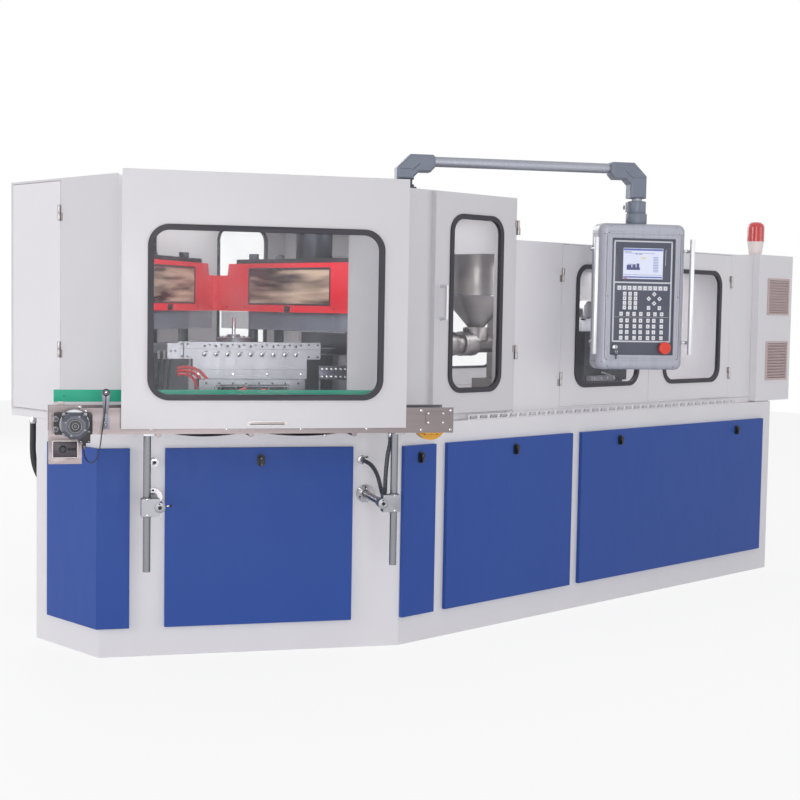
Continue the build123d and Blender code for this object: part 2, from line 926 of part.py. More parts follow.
def build_grilles():
    """Frames with slanted slats, set on the cabinet's front and rear."""
    pieces = []
    for band_low, band_high in grille_bands:
        frame = slab(side, grille_left, grille_right, band_low, band_high, 0, 6, 6)
        frame -= block(side, grille_left + grille_frame, grille_right - grille_frame,
                       band_low + grille_frame, band_high - grille_frame, -1, 10)
        pitch = (band_high - band_low - 2 * grille_frame) / grille_slats
        slat_width = grille_right - grille_left - 2 * grille_frame
        for index in range(grille_slats):
            height = band_low + grille_frame + (index + 0.5) * pitch
            slat = Rot(35, 0, 0) * Box(slat_width, pitch * 0.85, 2)
            frame += side.location * Pos((grille_left + grille_right) / 2, height, 0) * slat
        pieces += [frame, to_rear(frame)]
    save("cabinet_grilles", *pieces)


def build_gate():
    left = gate_centre - gate_width / 2
    right = gate_centre + gate_width / 2
    near = housing_out + door_gap
    sheet = door_sheet
    body = block(chamfer, left, right, gate_low, gate_high, near, gate_front)
    body -= block(chamfer, left + sheet, right - sheet, gate_low - 1, gate_high - sheet, near - 1,
                  gate_front - sheet)
    for end in (left, right):
        body -= block(chamfer, end - sheet - 1, end + sheet + 1, gate_low - 1, gate_notch, near - 1,
                      gate_front - sheet)
    cut, gasket, pane = window(chamfer, gate_centre, gate_window_width, gate_window_low,
                               gate_window_high, gate_front)
    body -= cut
    slot = (gate_centre - pull_width / 2, gate_centre + pull_width / 2)
    body -= block(chamfer, *slot, pull_height - 5, pull_height + 5, gate_front - 10, gate_front + 1)
    pull = slab(chamfer, slot[0] - 6, slot[1] + 6, pull_height - 8, pull_height + 8,
                gate_front, gate_front + 3, 7)
    pull -= block(chamfer, *slot, pull_height - 4, pull_height + 4, gate_front - 1, gate_front + 5)
    axis_out = housing_out + hinge_radius
    axis_height = tall_top
    fixed = []
    moving = []
    for place in gate_hinges:
        spot = gate_centre + place
        leaf = block(chamfer, spot, spot + 40, gate_high, axis_height - 1, axis_out - 2,
                     axis_out + 34)
        knuckle = cross_rod(chamfer, axis_height, axis_out, spot, spot + 40, hinge_radius)
        knuckle -= cross_rod(chamfer, axis_height, axis_out, spot - 1, spot + 41,
                             hinge_pin + running_gap)
        leaf -= cross_rod(chamfer, axis_height, axis_out, spot - 1, spot + 41,
                          hinge_pin + running_gap)
        moving.append(leaf + knuckle)
        root = block(chamfer, spot - 40.3, spot - 0.3, axis_height, axis_height + 3,
                     housing_out - 40, axis_out)
        root += cross_rod(chamfer, axis_height, axis_out, spot - 40.3, spot - 0.3, hinge_radius)
        root -= block(chamfer, spot - 50, spot + 5, axis_height - 20, axis_height, housing_out - 60,
                      housing_out + 0.0)
        root += cross_rod(chamfer, axis_height, axis_out, spot - 40.3, spot + 40, hinge_pin)
        fixed.append(root)
    roof = block(chamfer, left - 1, right + 1, gate_high - sheet, gate_high + 1, 0, gate_front + 1)
    ends = [block(chamfer, end - sheet, end + sheet, gate_low - 1, gate_high + 1, 0,
                  gate_front - sheet) for end in (left, right)]
    save("gate_cover", *plates_of(body, roof, *ends), gasket, pull, *moving)
    save("gate_pane", pane)
    return fixed


def build_tall_door():
    front = wall_front + door_gap + tall_door_deep
    body = pan(side, tall_door_left, tall_door_right, tall_door_low, tall_door_high,
               wall_front + door_gap, front, door_sheet)
    centre = (tall_door_left + tall_door_right) / 2
    cut, gasket, pane = window(side, centre, tall_window_width, tall_window_low, tall_window_high,
                               front)
    body -= cut
    fixed_leaves = []
    moving_leaves = []
    for height in tall_hinges:
        fixed, moving = hinge(side, tall_door_right + hinge_radius + 1, height, wall_front, 1,
                              tall_door_deep + door_gap)
        fixed_leaves.append(fixed)
        moving_leaves.append(moving)
    save("tall_door", body, gasket, *moving_leaves)
    save("tall_door_pane", pane)
    across = tall_door_left + handle_inset
    bar = slab(side, across - handle_radius, across + handle_radius, handle_low, handle_high,
               front + handle_reach - 2 * handle_radius, front + handle_reach, handle_radius - 0.5)
    for height in (handle_low + handle_radius, handle_high - handle_radius):
        foot = slab(side, across - handle_radius, across + handle_radius, height - handle_radius,
                    height + handle_radius, front, front + handle_reach - handle_radius,
                    handle_radius - 0.5)
        bar += foot
    save("tall_door_handle", bar)
    return fixed_leaves


def build_service_door(name, left, right, centre, hinge_side):
    """Flush door hinged on its outer edge: hinge_side is -1 on the left, +1 on the right."""
    body = pan(side, left, right, service_low, service_high, wall_front - service_deep, wall_front,
               door_sheet)
    cut, gasket, pane = window(side, centre, service_window_width, service_window_low,
                               service_window_high, wall_front)
    body -= cut
    edge = left - reveal / 2 if hinge_side < 0 else right + reveal / 2
    fixed_leaves = []
    moving_leaves = []
    for height in service_hinges:
        fixed, moving = hinge(side, edge, height, wall_front, hinge_side)
        fixed_leaves.append(fixed)
        moving_leaves.append(moving)
    save(f"{name}_service_door", body, gasket, *moving_leaves)
    save(f"{name}_door_pane", pane)
    return fixed_leaves


def build_nose_door():
    body = pan(nose, nose_door_left, nose_door_right, nose_door_low, nose_door_high, -service_deep,
               0, door_sheet)
    fixed_leaves = []
    moving_leaves = []
    for height in nose_hinges:
        fixed, moving = hinge(nose, nose_door_right + reveal / 2, height, 0, 1)
        fixed_leaves.append(fixed)
        moving_leaves.append(moving)
    save("nose_door", body, *moving_leaves)
    return fixed_leaves


def build_doors():
    leaves = build_cabinet()
    leaves += build_gate()
    leaves += build_tall_door()
    leaves += build_service_door("left", service_left, service_seam - reveal / 2,
                                 left_window_centre, -1)
    leaves += build_service_door("right", service_seam + reveal / 2, service_right,
                                 right_window_centre, 1)
    leaves += build_nose_door()
    save("hinge_leaves", *leaves)


def bevel(shape, edges, size):
    return shape.chamfer(size, None, list(edges))


arm_x = cos(radians(arm_turn))
arm_y = sin(radians(arm_turn))
pivot_x = mast_x + arm_length * arm_x
pivot_y = mast_y + arm_length * arm_y
arm_plane = Plane(origin=(mast_x, mast_y, arm_height), x_dir=(arm_x, arm_y, 0),
                  z_dir=(arm_y, -arm_x, 0))
panel = wall_plane(pivot_x + panel_shift * arm_x, pivot_y + panel_shift * arm_y, arm_turn - 90)


def elbow(leg):
    """Cast elbow in the arm's own plane: the leg hangs from the origin, the socket faces +x."""
    rise = elbow_top - elbow_shoulder
    points = [(-elbow_outer, -leg), (-elbow_outer, rise), (elbow_shoulder - elbow_outer, elbow_top),
              (elbow_reach - 10, elbow_top), (elbow_reach, elbow_top - 10),
              (elbow_reach, elbow_top - 58), (elbow_reach - 22, -elbow_drop),
              (elbow_inner + 24, -elbow_drop), (elbow_inner, -elbow_drop - 24), (elbow_inner, -leg)]
    body = extrude(Polygon(*points, align=None), elbow_half, both=True)
    rims = [edge for edge in body.edges() if abs(abs(edge.center().Z) - elbow_half) < 1]
    return fillet(rims, elbow_round)


def build_arm():
    plinth_top = tall_top + mast_plinth_rise
    base = Pos(mast_x, mast_y, tall_top + mast_plinth_rise / 2) * Box(plinth_side, plinth_side,
                                                                     mast_plinth_rise)
    flange_top = plinth_top + mast_flange_thick
    base += column(mast_x, mast_y, plinth_top, flange_top, mast_flange)
    leg_low = arm_height - mast_leg
    base += column(mast_x, mast_y, flange_top, leg_low - door_gap, mast_neck)
    base += column(mast_x, mast_y, leg_low - door_gap, leg_low + 40, mast_pin)
    save("mast_base", base)
    first = arm_plane.location * elbow(mast_leg)
    first -= column(mast_x, mast_y, leg_low - 1, leg_low + 41, mast_pin + running_gap)
    far_end = arm_plane.location * Pos(arm_length, 0, 0)
    second = far_end * mirror(elbow(hanger_leg), about=Plane.YZ)
    tube_start = elbow_reach - 45
    tube_length = arm_length - 2 * tube_start
    tube = arm_plane.location * Pos(arm_length / 2, 0, 0) * Rot(0, 90, 0) * Cylinder(tube_radius,
                                                                                     tube_length)
    neck_top = arm_height - hanger_leg + 30
    neck = column(pivot_x, pivot_y, coupling_high, neck_top, neck_radius)
    first -= tube
    second -= tube + neck
    save("arm_elbows", first, second)
    save("arm_tube", tube, neck)
    upper = column(pivot_x, pivot_y, coupling_low, coupling_high, coupling_radius)
    upper = bevel(upper, [upper.edges().sort_by(Axis.Z)[-1]], 5)
    upper += block(panel, -coupling_radius - 18, -32, coupling_low + 8, coupling_high - 6, -16, 16)
    upper -= column(pivot_x, pivot_y, coupling_low - 1, coupling_low + 40, mast_pin + running_gap)
    save("swivel_coupling", upper)


def key_caps():
    """Raised keys of the keypad: rows of small pads and a cross of turned ones."""
    soft_places = [soft_key_pitch * index + soft_key_start for index in range(soft_key_count)]
    rows = [(soft_key_rise, soft_places)]
    rows += [(pad_rise - pad_pitch * row, pad_places) for row in range(pad_rows)]
    rows.append((pair_rise, pair_places))
    rows.append((mode_rise, mode_places))
    rows += [(hand_rise - hand_pitch * row, hand_places) for row in range(hand_rows)]
    front = panel_front - recess_depth + 2
    half = key_wide / 2
    tall = key_high / 2
    caps = []
    for rise, places in rows:
        height = recess_low + rise
        for across in places:
            caps.append(block(panel, across - half, across + half, height - tall, height + tall,
                              front, front + key_proud))
    for across, rise in zip(arrow_across, arrow_rises):
        turned = Pos(across, recess_low + rise, front + key_proud / 2) * Rot(0, 0, 45)
        caps.append(panel.location * turned * Box(1.4 * key_arrow, 1.4 * key_arrow, key_proud))
    return caps


def build_panel():
    panel_high = collar_low
    half = panel_width / 2
    casing = block(panel, -half, half, panel_low, panel_high, panel_back, panel_front)
    upright = casing.edges().filter_by(Axis.Z)
    casing = fillet(upright, panel_round)
    caps = casing.faces().sort_by(Axis.Z)
    casing = fillet(caps[0].edges() + caps[-1].edges(), panel_cap_round)
    recess = slab(panel, -recess_width / 2, recess_width / 2, recess_low, recess_high,
                  panel_front - recess_depth, panel_front + 1, 6)
    casing -= recess
    core = (panel_back + 20, panel_front - recess_depth - 6)
    casing -= block(panel, -half + 20, half - 20, panel_low + 20, panel_high - 20, *core)
    collar = column(pivot_x, pivot_y, collar_low, coupling_low - door_gap, collar_radius)
    collar += column(pivot_x, pivot_y, coupling_low - door_gap, coupling_low + 38, mast_pin)
    save("swivel_collar", collar)
    plate_front = panel_front - recess_depth + 2
    keypad = slab(panel, -recess_width / 2 + 1, recess_width / 2 - 1, recess_low + 1,
                  recess_high - 1, panel_front - recess_depth, plate_front, 5)
    screen = slab(panel, -screen_width / 2, screen_width / 2, screen_low, screen_high,
                  plate_front - 1.5, plate_front + 0.5, 2)
    keypad -= screen
    stop_hole = spigot(panel, stop_across, stop_height, panel_front - 60, panel_front + 1,
                       8 + running_gap)
    key_hole = spigot(panel, key_across, key_height, panel_front - 60, panel_front + 1, 9 + running_gap)
    casing -= stop_hole
    casing -= key_hole
    keypad -= stop_hole
    keypad -= key_hole
    save("panel_casing", casing)
    save("panel_keypad", keypad, *key_caps())
    save("panel_screen", screen)
    stop = spigot(panel, stop_across, stop_height, plate_front - 24, plate_front + 14, 8)
    head = spigot(panel, stop_across, stop_height, plate_front + stop_travel + 8,
                  plate_front + stop_travel + 24, stop_radius)
    rim = max(head.edges(), key=lambda edge: panel.to_local_coords(edge.center()).Z)
    head = fillet([rim], 7)
    save("emergency_stop", stop + head)
    barrel = spigot(panel, key_across, key_height, plate_front - 20, plate_front + 6, 9)
    blade = block(panel, key_across - 1.2, key_across + 1.2, key_height - 11, key_height + 11,
                  plate_front + 6, plate_front + 30)
    save("key_switch", barrel + blade)
    handles = []
    for sign in (-1, 1):
        across = sign * side_handle_out
        grip = plane_column(panel, across, side_handle_front, side_handle_low, side_handle_high,
                            side_handle_radius)
        for height in standoff_heights:
            ends = sorted((sign * half, across))
            grip += cross_rod(panel, height, side_handle_front - 52, ends[0], ends[1], 7)
            grip += spigot(panel, across, height, side_handle_front - 62, side_handle_front, 8.5)
        handles.append(grip)
    save("panel_handles", *handles)


def build_beacon():
    foot = column(beacon_x, beacon_y, cabinet_top, cabinet_top + 12, beacon_radius * 0.72)
    body = Cone(beacon_radius * 0.78, beacon_radius * 0.95, beacon_base_height - 12)
    foot += Pos(beacon_x, beacon_y, cabinet_top + 12 + (beacon_base_height - 12) / 2) * body
    seat = cabinet_top + beacon_base_height
    save("beacon_base", foot)
    inner = beacon_radius - 3
    height = beacon_dome_height
    dome = column(beacon_x, beacon_y, seat, seat + height, beacon_radius)
    dome = fillet([dome.edges().sort_by(Axis.Z)[-1]], beacon_radius * 0.7)
    dome -= column(beacon_x, beacon_y, seat - 1, seat + height * 0.62, inner)
    bulb = column(beacon_x, beacon_y, seat, seat + height * 0.42, 16)
    save("beacon_dome", dome, bulb)


def belt_loop():
    """Belt seen along its rollers: a flat top run, and a lower run that sags between idlers."""
    def loop(radius, drop):
        low = roller_height - radius
        high = roller_height + radius
        bays = [(idler_places[2], idler_places[1]), (idler_places[1], idler_places[0])]
        edges = [Line((drive_place, high), (tail_place, high)),
                 ThreePointArc((tail_place, high), (tail_place + radius, roller_height),
                               (tail_place, low)),
                 Line((tail_place, low), (idler_places[2], low))]
        for start, end in bays:
            edges.append(ThreePointArc((start, low), ((start + end) / 2, belt_sag + drop),
                                       (end, low)))
        edges.append(Line((idler_places[0], low), (drive_place, low)))
        edges.append(ThreePointArc((drive_place, low), (drive_place - radius, roller_height),
                                   (drive_place, high)))
        return make_face(edges)

    inside = roller_radius + roller_gap
    ring = loop(inside + belt_thick, 0) - loop(inside, belt_thick)
    width = plate_far - plate_near - 2 * belt_edge
    return chamfer.location * Pos(0, 0, plate_near + belt_edge) * extrude(ring, width)


def build_conveyor():
    inner_near = plate_near + plate_thick
    inner_far = plate_far - plate_thick
    front = block(chamfer, belt_left, belt_right, plate_low, plate_high, inner_far, plate_far)
    front += block(chamfer, belt_left, end_plate_right, plate_low, end_plate_high, inner_far,
                   plate_far)
    rear = block(chamfer, belt_left, belt_right, plate_low, plate_high, plate_near, inner_near)
    bed_high = roller_height + roller_radius + roller_gap
    clear = roller_radius + 8
    cross = [block(chamfer, drive_place + clear, tail_place - clear, bed_high - 3, bed_high,
                   inner_near, inner_far)]
    for place in spacer_places:
        cross.append(block(chamfer, place - spacer_side / 2, place + spacer_side / 2,
                           roller_height - spacer_side / 2, roller_height + spacer_side / 2,
                           inner_near, inner_far))
    idler_height = roller_height - roller_radius - roller_gap - belt_thick - idler_radius - 0.5
    for place in idler_places:
        cross.append(spigot(chamfer, place, idler_height, inner_near, inner_far, idler_radius))
    for place in (drive_place, tail_place):
        shaft = spigot(chamfer, place, roller_height, plate_near - 1, plate_far + 1,
                       roller_shaft + running_gap)
        front -= shaft
        rear -= shaft
    cover = slab(chamfer, belt_right - tail_cover_start, belt_right - tail_cover_end,
                 roller_height - tail_cover_drop, roller_height + tail_cover_rise, plate_far,
                 plate_far + tail_cover_thick, tail_cover_thick)
    save("conveyor_frame", front, rear, *cross, cover)
    save("conveyor_belt", belt_loop())
    for name, place in (("drive_roller", drive_place), ("tail_roller", tail_place)):
        roller = spigot(chamfer, place, roller_height, inner_near + 2, inner_far - 2, roller_radius)
        roller += spigot(chamfer, place, roller_height, plate_near, plate_far, roller_shaft)
        save(name, roller)
    rail = block(chamfer, guard_left, guard_right, guard_low, guard_high, plate_near, inner_near)
    for place in (guard_left + 30, -300, 250, guard_right - 30):
        rail += block(chamfer, place - 12, place + 12, plate_high, guard_low, plate_near, inner_near)
    disc = spigot(chamfer, disc_guard_place, disc_guard_drop + disc_guard_radius,
                  plate_near + disc_guard_near, plate_far - disc_guard_back, disc_guard_radius)
    disc &= block(chamfer, disc_guard_place - disc_guard_radius,
                  disc_guard_place + disc_guard_radius, disc_guard_drop, plate_low, plate_near,
                  plate_far)
    bracket = block(chamfer, disc_guard_place - 40, disc_guard_place + 40, plate_low - 4, plate_low,
                    inner_near, plate_far)
    save("conveyor_guards", rail, disc + bracket)


def build_motor():
    face = plate_far
    box = slab(chamfer, gearbox_left, gearbox_right, gearbox_low, gearbox_high, face,
               face + gearbox_deep, 8)
    body_far = motor_front - fan_cover_deep
    box += spigot(chamfer, drive_place, roller_height, face + gearbox_deep, body_far, motor_radius)
    octagon = RegularPolygon(fan_cover_half, 8, major_radius=False, rotation=22.5)
    cover = extrude(Pos(0, 0, body_far) * octagon, fan_cover_deep)
    cover = bevel(cover, cover.faces().sort_by(Axis.Z)[-1].edges(), 12)
    box += chamfer.location * Pos(drive_place, roller_height, 0) * cover
    terminal = block(chamfer, drive_place + 14, drive_place + 58, roller_height - 68,
                     roller_height - 18, face + gearbox_deep + 8, face + gearbox_deep + 60)
    save("conveyor_motor", box + terminal)
    control = block(chamfer, belt_left, end_plate_right, end_plate_low, plate_low, 300, plate_far)
    control -= block(chamfer, belt_left + 14, end_plate_right - 14, end_plate_low + 22,
                     end_plate_low + 92, plate_far - 3, plate_far + 1)
    dial = spigot(chamfer, belt_left + dial_inset, end_plate_low + dial_rise, plate_far - 3,
                  plate_far + dial_proud, dial_radius)
    socket = end_plate_right + connector_radius + 2
    middle = end_plate_low + connector_rise
    out = plate_far - connector_back
    connector = cross_rod(chamfer, middle, out, end_plate_right, socket, connector_radius)
    connector += plane_column(chamfer, socket, out, middle - connector_down, middle + connector_up,
                              connector_radius)
    save("control_box", control, dial, connector)
    foot_high = roller_height + sensor_foot_rise
    foot = slab(chamfer, sensor_place - sensor_foot_half, sensor_place + sensor_foot_half,
                roller_height - sensor_foot_drop, foot_high, plate_far, plate_far + sensor_sheet,
                sensor_sheet)
    foot += block(chamfer, sensor_place - sensor_strip_half, sensor_place + sensor_strip_half,
                  foot_high - sensor_strip_half, sensor_eye - 4, plate_far,
                  plate_far + sensor_sheet)
    eye = spigot(chamfer, sensor_place, sensor_eye, plate_far - 10, plate_far + 14,
                 sensor_eye_radius)
    save("sensor_post", foot + eye)


def build_supports():
    pieces = []
    for place, outward in zip(support_places, (-1, 1)):
        arm = spigot(chamfer, place, support_height, 0, 8, support_flange)
        arm += spigot(chamfer, place, support_height, 8, support_reach + 12, support_arm)
        for turn in (90, 210, 330):
            across = place + 28 * cos(radians(turn))
            height = support_height + 28 * sin(radians(turn))
            arm -= spigot(chamfer, across, height, -1, 9, 4.5)
        rod_place = place + outward * rod_offset
        near = support_reach - clamp_side / 2
        far = support_reach + clamp_side / 2
        clamp = spigot(chamfer, place, support_height, near - 6, far + 2, support_boss)
        clamp += block(chamfer, min(place, rod_place) - (clamp_side / 2 if outward < 0 else 0),
                       max(place, rod_place) + (clamp_side / 2 if outward > 0 else 0),
                       support_height - clamp_height / 2, support_height + clamp_height / 2,
                       near, far)
        clamp -= spigot(chamfer, place, support_height, near - 20, support_reach + 12, support_arm)
        clamp -= spigot(chamfer, place, support_height, support_reach + 12, far + 5, 8)
        clamp -= plane_column(chamfer, rod_place, support_reach, rod_low, plate_low, rod_radius)
        rod = plane_column(chamfer, rod_place, support_reach, rod_low, plate_low - rod_foot,
                           rod_radius)
        rod += block(chamfer, rod_place - rod_bar / 2, rod_place + rod_bar / 2,
                     plate_low - rod_foot, plate_low, plate_near, plate_far)
        pieces += [arm, clamp, rod]
    save("conveyor_supports", *pieces)


def build_fittings():
    pieces = []
    for place in gland_places:
        gland = spigot(chamfer, place, gland_height, 0, 10, gland_radius)
        gland += spigot(chamfer, place, gland_height, 10, gland_long, gland_radius - 4)
        pieces.append(gland)
    low = base_height - fitting_long
    hexagon = extrude(RegularPolygon(fitting_radius, 6), fitting_long * 0.6)
    spot = rear_chamfer.from_local_coords(Vector(hose_along, 0, hose_out))
    fitting = Pos(spot.X, spot.Y, base_height - fitting_long * 0.6) * hexagon
    fitting += column(spot.X, spot.Y, low, base_height - fitting_long * 0.6, fitting_radius - 2)
    pieces.append(fitting)
    end = conduit_route[-1]
    connector = plane_column(chamfer, end[0], end[2], plate_low - rod_foot - socket_long,
                             plate_low - rod_foot, socket_radius)
    pieces.append(connector)
    save("hose_fittings", *pieces)


def cord_tube(points, radius):
    """Tube along straight runs joined by arcs, each as large as its two runs allow."""
    radii = []
    for before, here, after in zip(points, points[1:], points[2:]):
        first = Vector(*here) - Vector(*before)
        second = Vector(*after) - Vector(*here)
        turn = first.get_angle(second)
        radii.append(0.45 * min(first.length, second.length) / tan(radians(turn / 2)))
    print("cord radii", [round(value) for value in radii])
    path = FilletPolyline(*points, radius=radii)
    start = Vector(*points[0])
    ring = Plane(origin=start, z_dir=Vector(*points[1]) - start) * Circle(radius)
    tube = sweep(ring, path=path)
    share = tube.volume / (3.141592653589793 * radius ** 2 * path.length)
    print("cord length", round(path.length), "volume share", round(share, 4))
    return tube


def on_chamfer(plane, points):
    return [tuple(plane.from_local_coords(Vector(*point))) for point in points]


# Routes in the chamfer's own measures: along it, height, out from it
conduit_route = [(474, 828, 26), (474, 828, 58), (492, 818, 96), (507, 790, 130),
                 (515, 757, 152), (520, 724, 166), (521, 701, 193), (519, 695, 227),
                 (515, 707, 258), (511, 734, 279), (509.5, 770, 287), (511, 808, 289),
                 (514, 848, 288), (519.5, 888, 285), (530, 924, 280), (530, 954, 280)]
sensor_route = [(-645, 1134.9, 405), (-645, 1105, 405), (-650, 1066, 418), (-656, 1025, 426),
                (-662, 982, 430), (-667, 940, 428), (-673, 905, 421), (-684, 880, 412),
                (-700, 868, 401), (-716, 876, 387), (-727, 897, 372), (-727, 921.8, 372)]
hose_route = [(462, 938, 125), (462, 878, 125), (461, 820, 127), (457, 762, 124),
              (451, 710, 110), (442, 668, 84), (435, 650, 48), (435, 650, 0.3)]


def build_cords():
    save("conveyor_conduit", cord_tube(on_chamfer(chamfer, conduit_route), conduit_radius))
    save("hydraulic_hose", cord_tube(on_chamfer(rear_chamfer, hose_route), hose_radius))
    save("sensor_cable", cord_tube(on_chamfer(chamfer, sensor_route), 2.2))


def build_turret():
    shaft_top = core_height - turret_half_thick
    shaft = column(turret_x, 0, shaft_low, shaft_top - door_gap, shaft_radius)
    shaft += column(turret_x, 0, shaft_top - door_gap, shaft_top + 20, 30)
    save("turret_shaft", shaft)
    head = None
    corners = []
    for turn in (0, 120, 240):
        face = station(turn)
        for across in (-turret_half, turret_half):
            spot = face.from_local_coords(Vector(across, 0, turret_reach))
            corners.append((spot.X, spot.Y))
    head = prism(corners, core_height - turret_half_thick, core_height + turret_half_thick)
    head += column(turret_x, 0, core_height + turret_half_thick,
                   core_height + turret_half_thick + hub_height, hub_radius)
    head -= column(turret_x, 0, core_height - turret_half_thick - 1, shaft_top + 21,
                   30 + running_gap)
    head -= column(turret_x, 0, core_height, core_height + 100, 30)
    save("turret_head", head)
    cores = []
    for turn in (0, 120, 240):
        face = station(turn)
        for index in range(core_count):
            across = (index - (core_count - 1) / 2) * core_pitch
            rod = spigot(face, across, core_height, turret_reach, turret_reach + core_length,
                         core_radius)
            cores.append(rod)
    save("core_rods", *cores)


def cavities(face, height):
    cuts = []
    for index in range(core_count):
        across = (index - (core_count - 1) / 2) * core_pitch
        cuts.append(spigot(face, across, height, mould_near - 5,
                           turret_reach + core_length + 12, cavity_radius))
    return cuts


def build_stations():
    parting = core_height - turret_lift
    lower = []
    frames = []
    hoods = []
    for name, turn in (("injection", 0), ("blow", blow_turn)):
        face = station(turn)
        bed = block(face, -platen_half, platen_half, deck_top, deck_top + station_bed, station_near,
                    station_far)
        mould = block(face, -mould_half, mould_half, deck_top + station_bed, parting, mould_near, mould_far)
        for cut in cavities(face, parting):
            mould -= cut
        upper_low = parting + clamp_travel
        upper = block(face, -mould_half, mould_half, upper_low, upper_low + mould_height,
                      mould_near, mould_far)
        for cut in cavities(face, upper_low):
            upper -= cut
        platen_low = upper_low + mould_height
        platen = block(face, -platen_half, platen_half, platen_low, platen_low + platen_thick,
                       station_near, station_far)
        middle = (station_near + station_far) / 2
        top = block(face, -platen_half, platen_half, top_platen_low, top_platen_low + platen_thick,
                    station_near, station_far)
        ties = []
        for across in (-tie_across, tie_across):
            for out in (tie_near, tie_far):
                tie = plane_column(face, across, out, deck_top, top_platen_low + platen_thick + tie_nut,
                                   tie_radius)
                ties.append(tie)
                platen -= plane_column(face, across, out, deck_top, top_platen_low,
                                       tie_radius + running_gap)
                bed -= tie
                top -= tie
        piston = plane_column(face, 0, middle, platen_low + platen_thick, cylinder_top - piston_head_gap,
                              piston_radius)
        top_high = top_platen_low + platen_thick
        top -= plane_column(face, 0, middle, top_platen_low - 1, top_high + 1,
                            piston_radius + running_gap)
        cylinder = plane_column(face, 0, middle, top_high, cylinder_top, cylinder_radius)
        cylinder -= plane_column(face, 0, middle, top_high - 1, cylinder_top - cylinder_end, cylinder_bore)
        lower += [bed, mould]
        frames += [top, cylinder, *ties]
        save(f"{name}_platen", upper, platen + piston)
        hoods.append(station_hood(face))
        if name == "injection":
            manifold = block(face, -carriage_half, carriage_half, deck_top + station_bed, manifold_top,
                             mould_far + 5, station_far)
            seat = spigot(face, 0, barrel_height, station_far - 20, station_far + 1, 24)
            lower.append(manifold - seat)
    lower.append(stripper_frame())
    save("station_beds", *lower)
    save("clamp_frames", *frames)
    save("station_hoods", *hoods)


def station_hood(face):
    """Red sheet hood in front of a clamp: stepped outline, turned-back sides and a window hole."""
    half = hood_half
    points = [(-half, hood_low), (half, hood_low), (half, hood_shoulder),
              (half - hood_step, hood_shoulder), (half - hood_step - hood_slant, hood_high),
              (-half + hood_step + hood_slant, hood_high), (-half + hood_step, hood_shoulder),
              (-half, hood_shoulder)]
    sheet = extrude(Polygon(*points, align=None), hood_sheet)
    hood = face.location * Pos(0, 0, hood_reach) * sheet
    hood -= block(face, -hood_window_half, hood_window_half, hood_window_low, hood_window_high,
                  hood_reach - 5, hood_reach + 10)
    hood += block(face, -hood_window_half, hood_window_half, hood_window_low, hood_window_high,
                  hood_reach + hood_sheet, hood_reach + hood_sheet + hood_pane)
    shelf_near = hood_reach + hood_sheet
    hood += block(face, -half + hood_step + hood_slant, half - hood_step - hood_slant, hood_high - hood_sheet,
                  hood_high, shelf_near, station_near)
    return hood


def build_stripper():
    face = station(strip_turn)
    near = strip_near
    far = near + strip_plate
    bar = block(face, -strip_half, strip_half, strip_low, strip_high, near, far)
    for index in range(core_count):
        across = (index - (core_count - 1) / 2) * core_pitch
        bar -= spigot(face, across, strip_high - 18, near - 1, far + 1, 5.5)
        bar += spigot(face, across, strip_low + 20, far, far + 9, 9)
    end_block = block(face, -strip_half - 50, -strip_half, strip_low, strip_high - 6, near, far + 15)
    saddle = block(face, -strip_block_half, strip_block_half, strip_block_low, strip_low, near - 45,
                   far)
    save("stripper_plate", bar + end_block, saddle)


def stripper_frame():
    """Fixed trestle that carries the stripper."""
    face = station(strip_turn)
    near = strip_near
    far = near + strip_plate
    frame = block(face, -strip_frame_half, strip_frame_half, strip_frame_low + 80, strip_block_low,
                  near - 80, far + 70)
    frame -= block(face, -strip_frame_half + strip_leg, strip_frame_half - strip_leg,
                   strip_frame_low + 60, strip_block_low - 22, near - 90, far + 80)
    for sign in (-1, 1):
        ends = sorted((sign * strip_frame_half, sign * (strip_frame_half - strip_leg)))
        frame += block(face, *ends, deck_top, strip_frame_low + 80, near - 80, far + 70)
    return frame


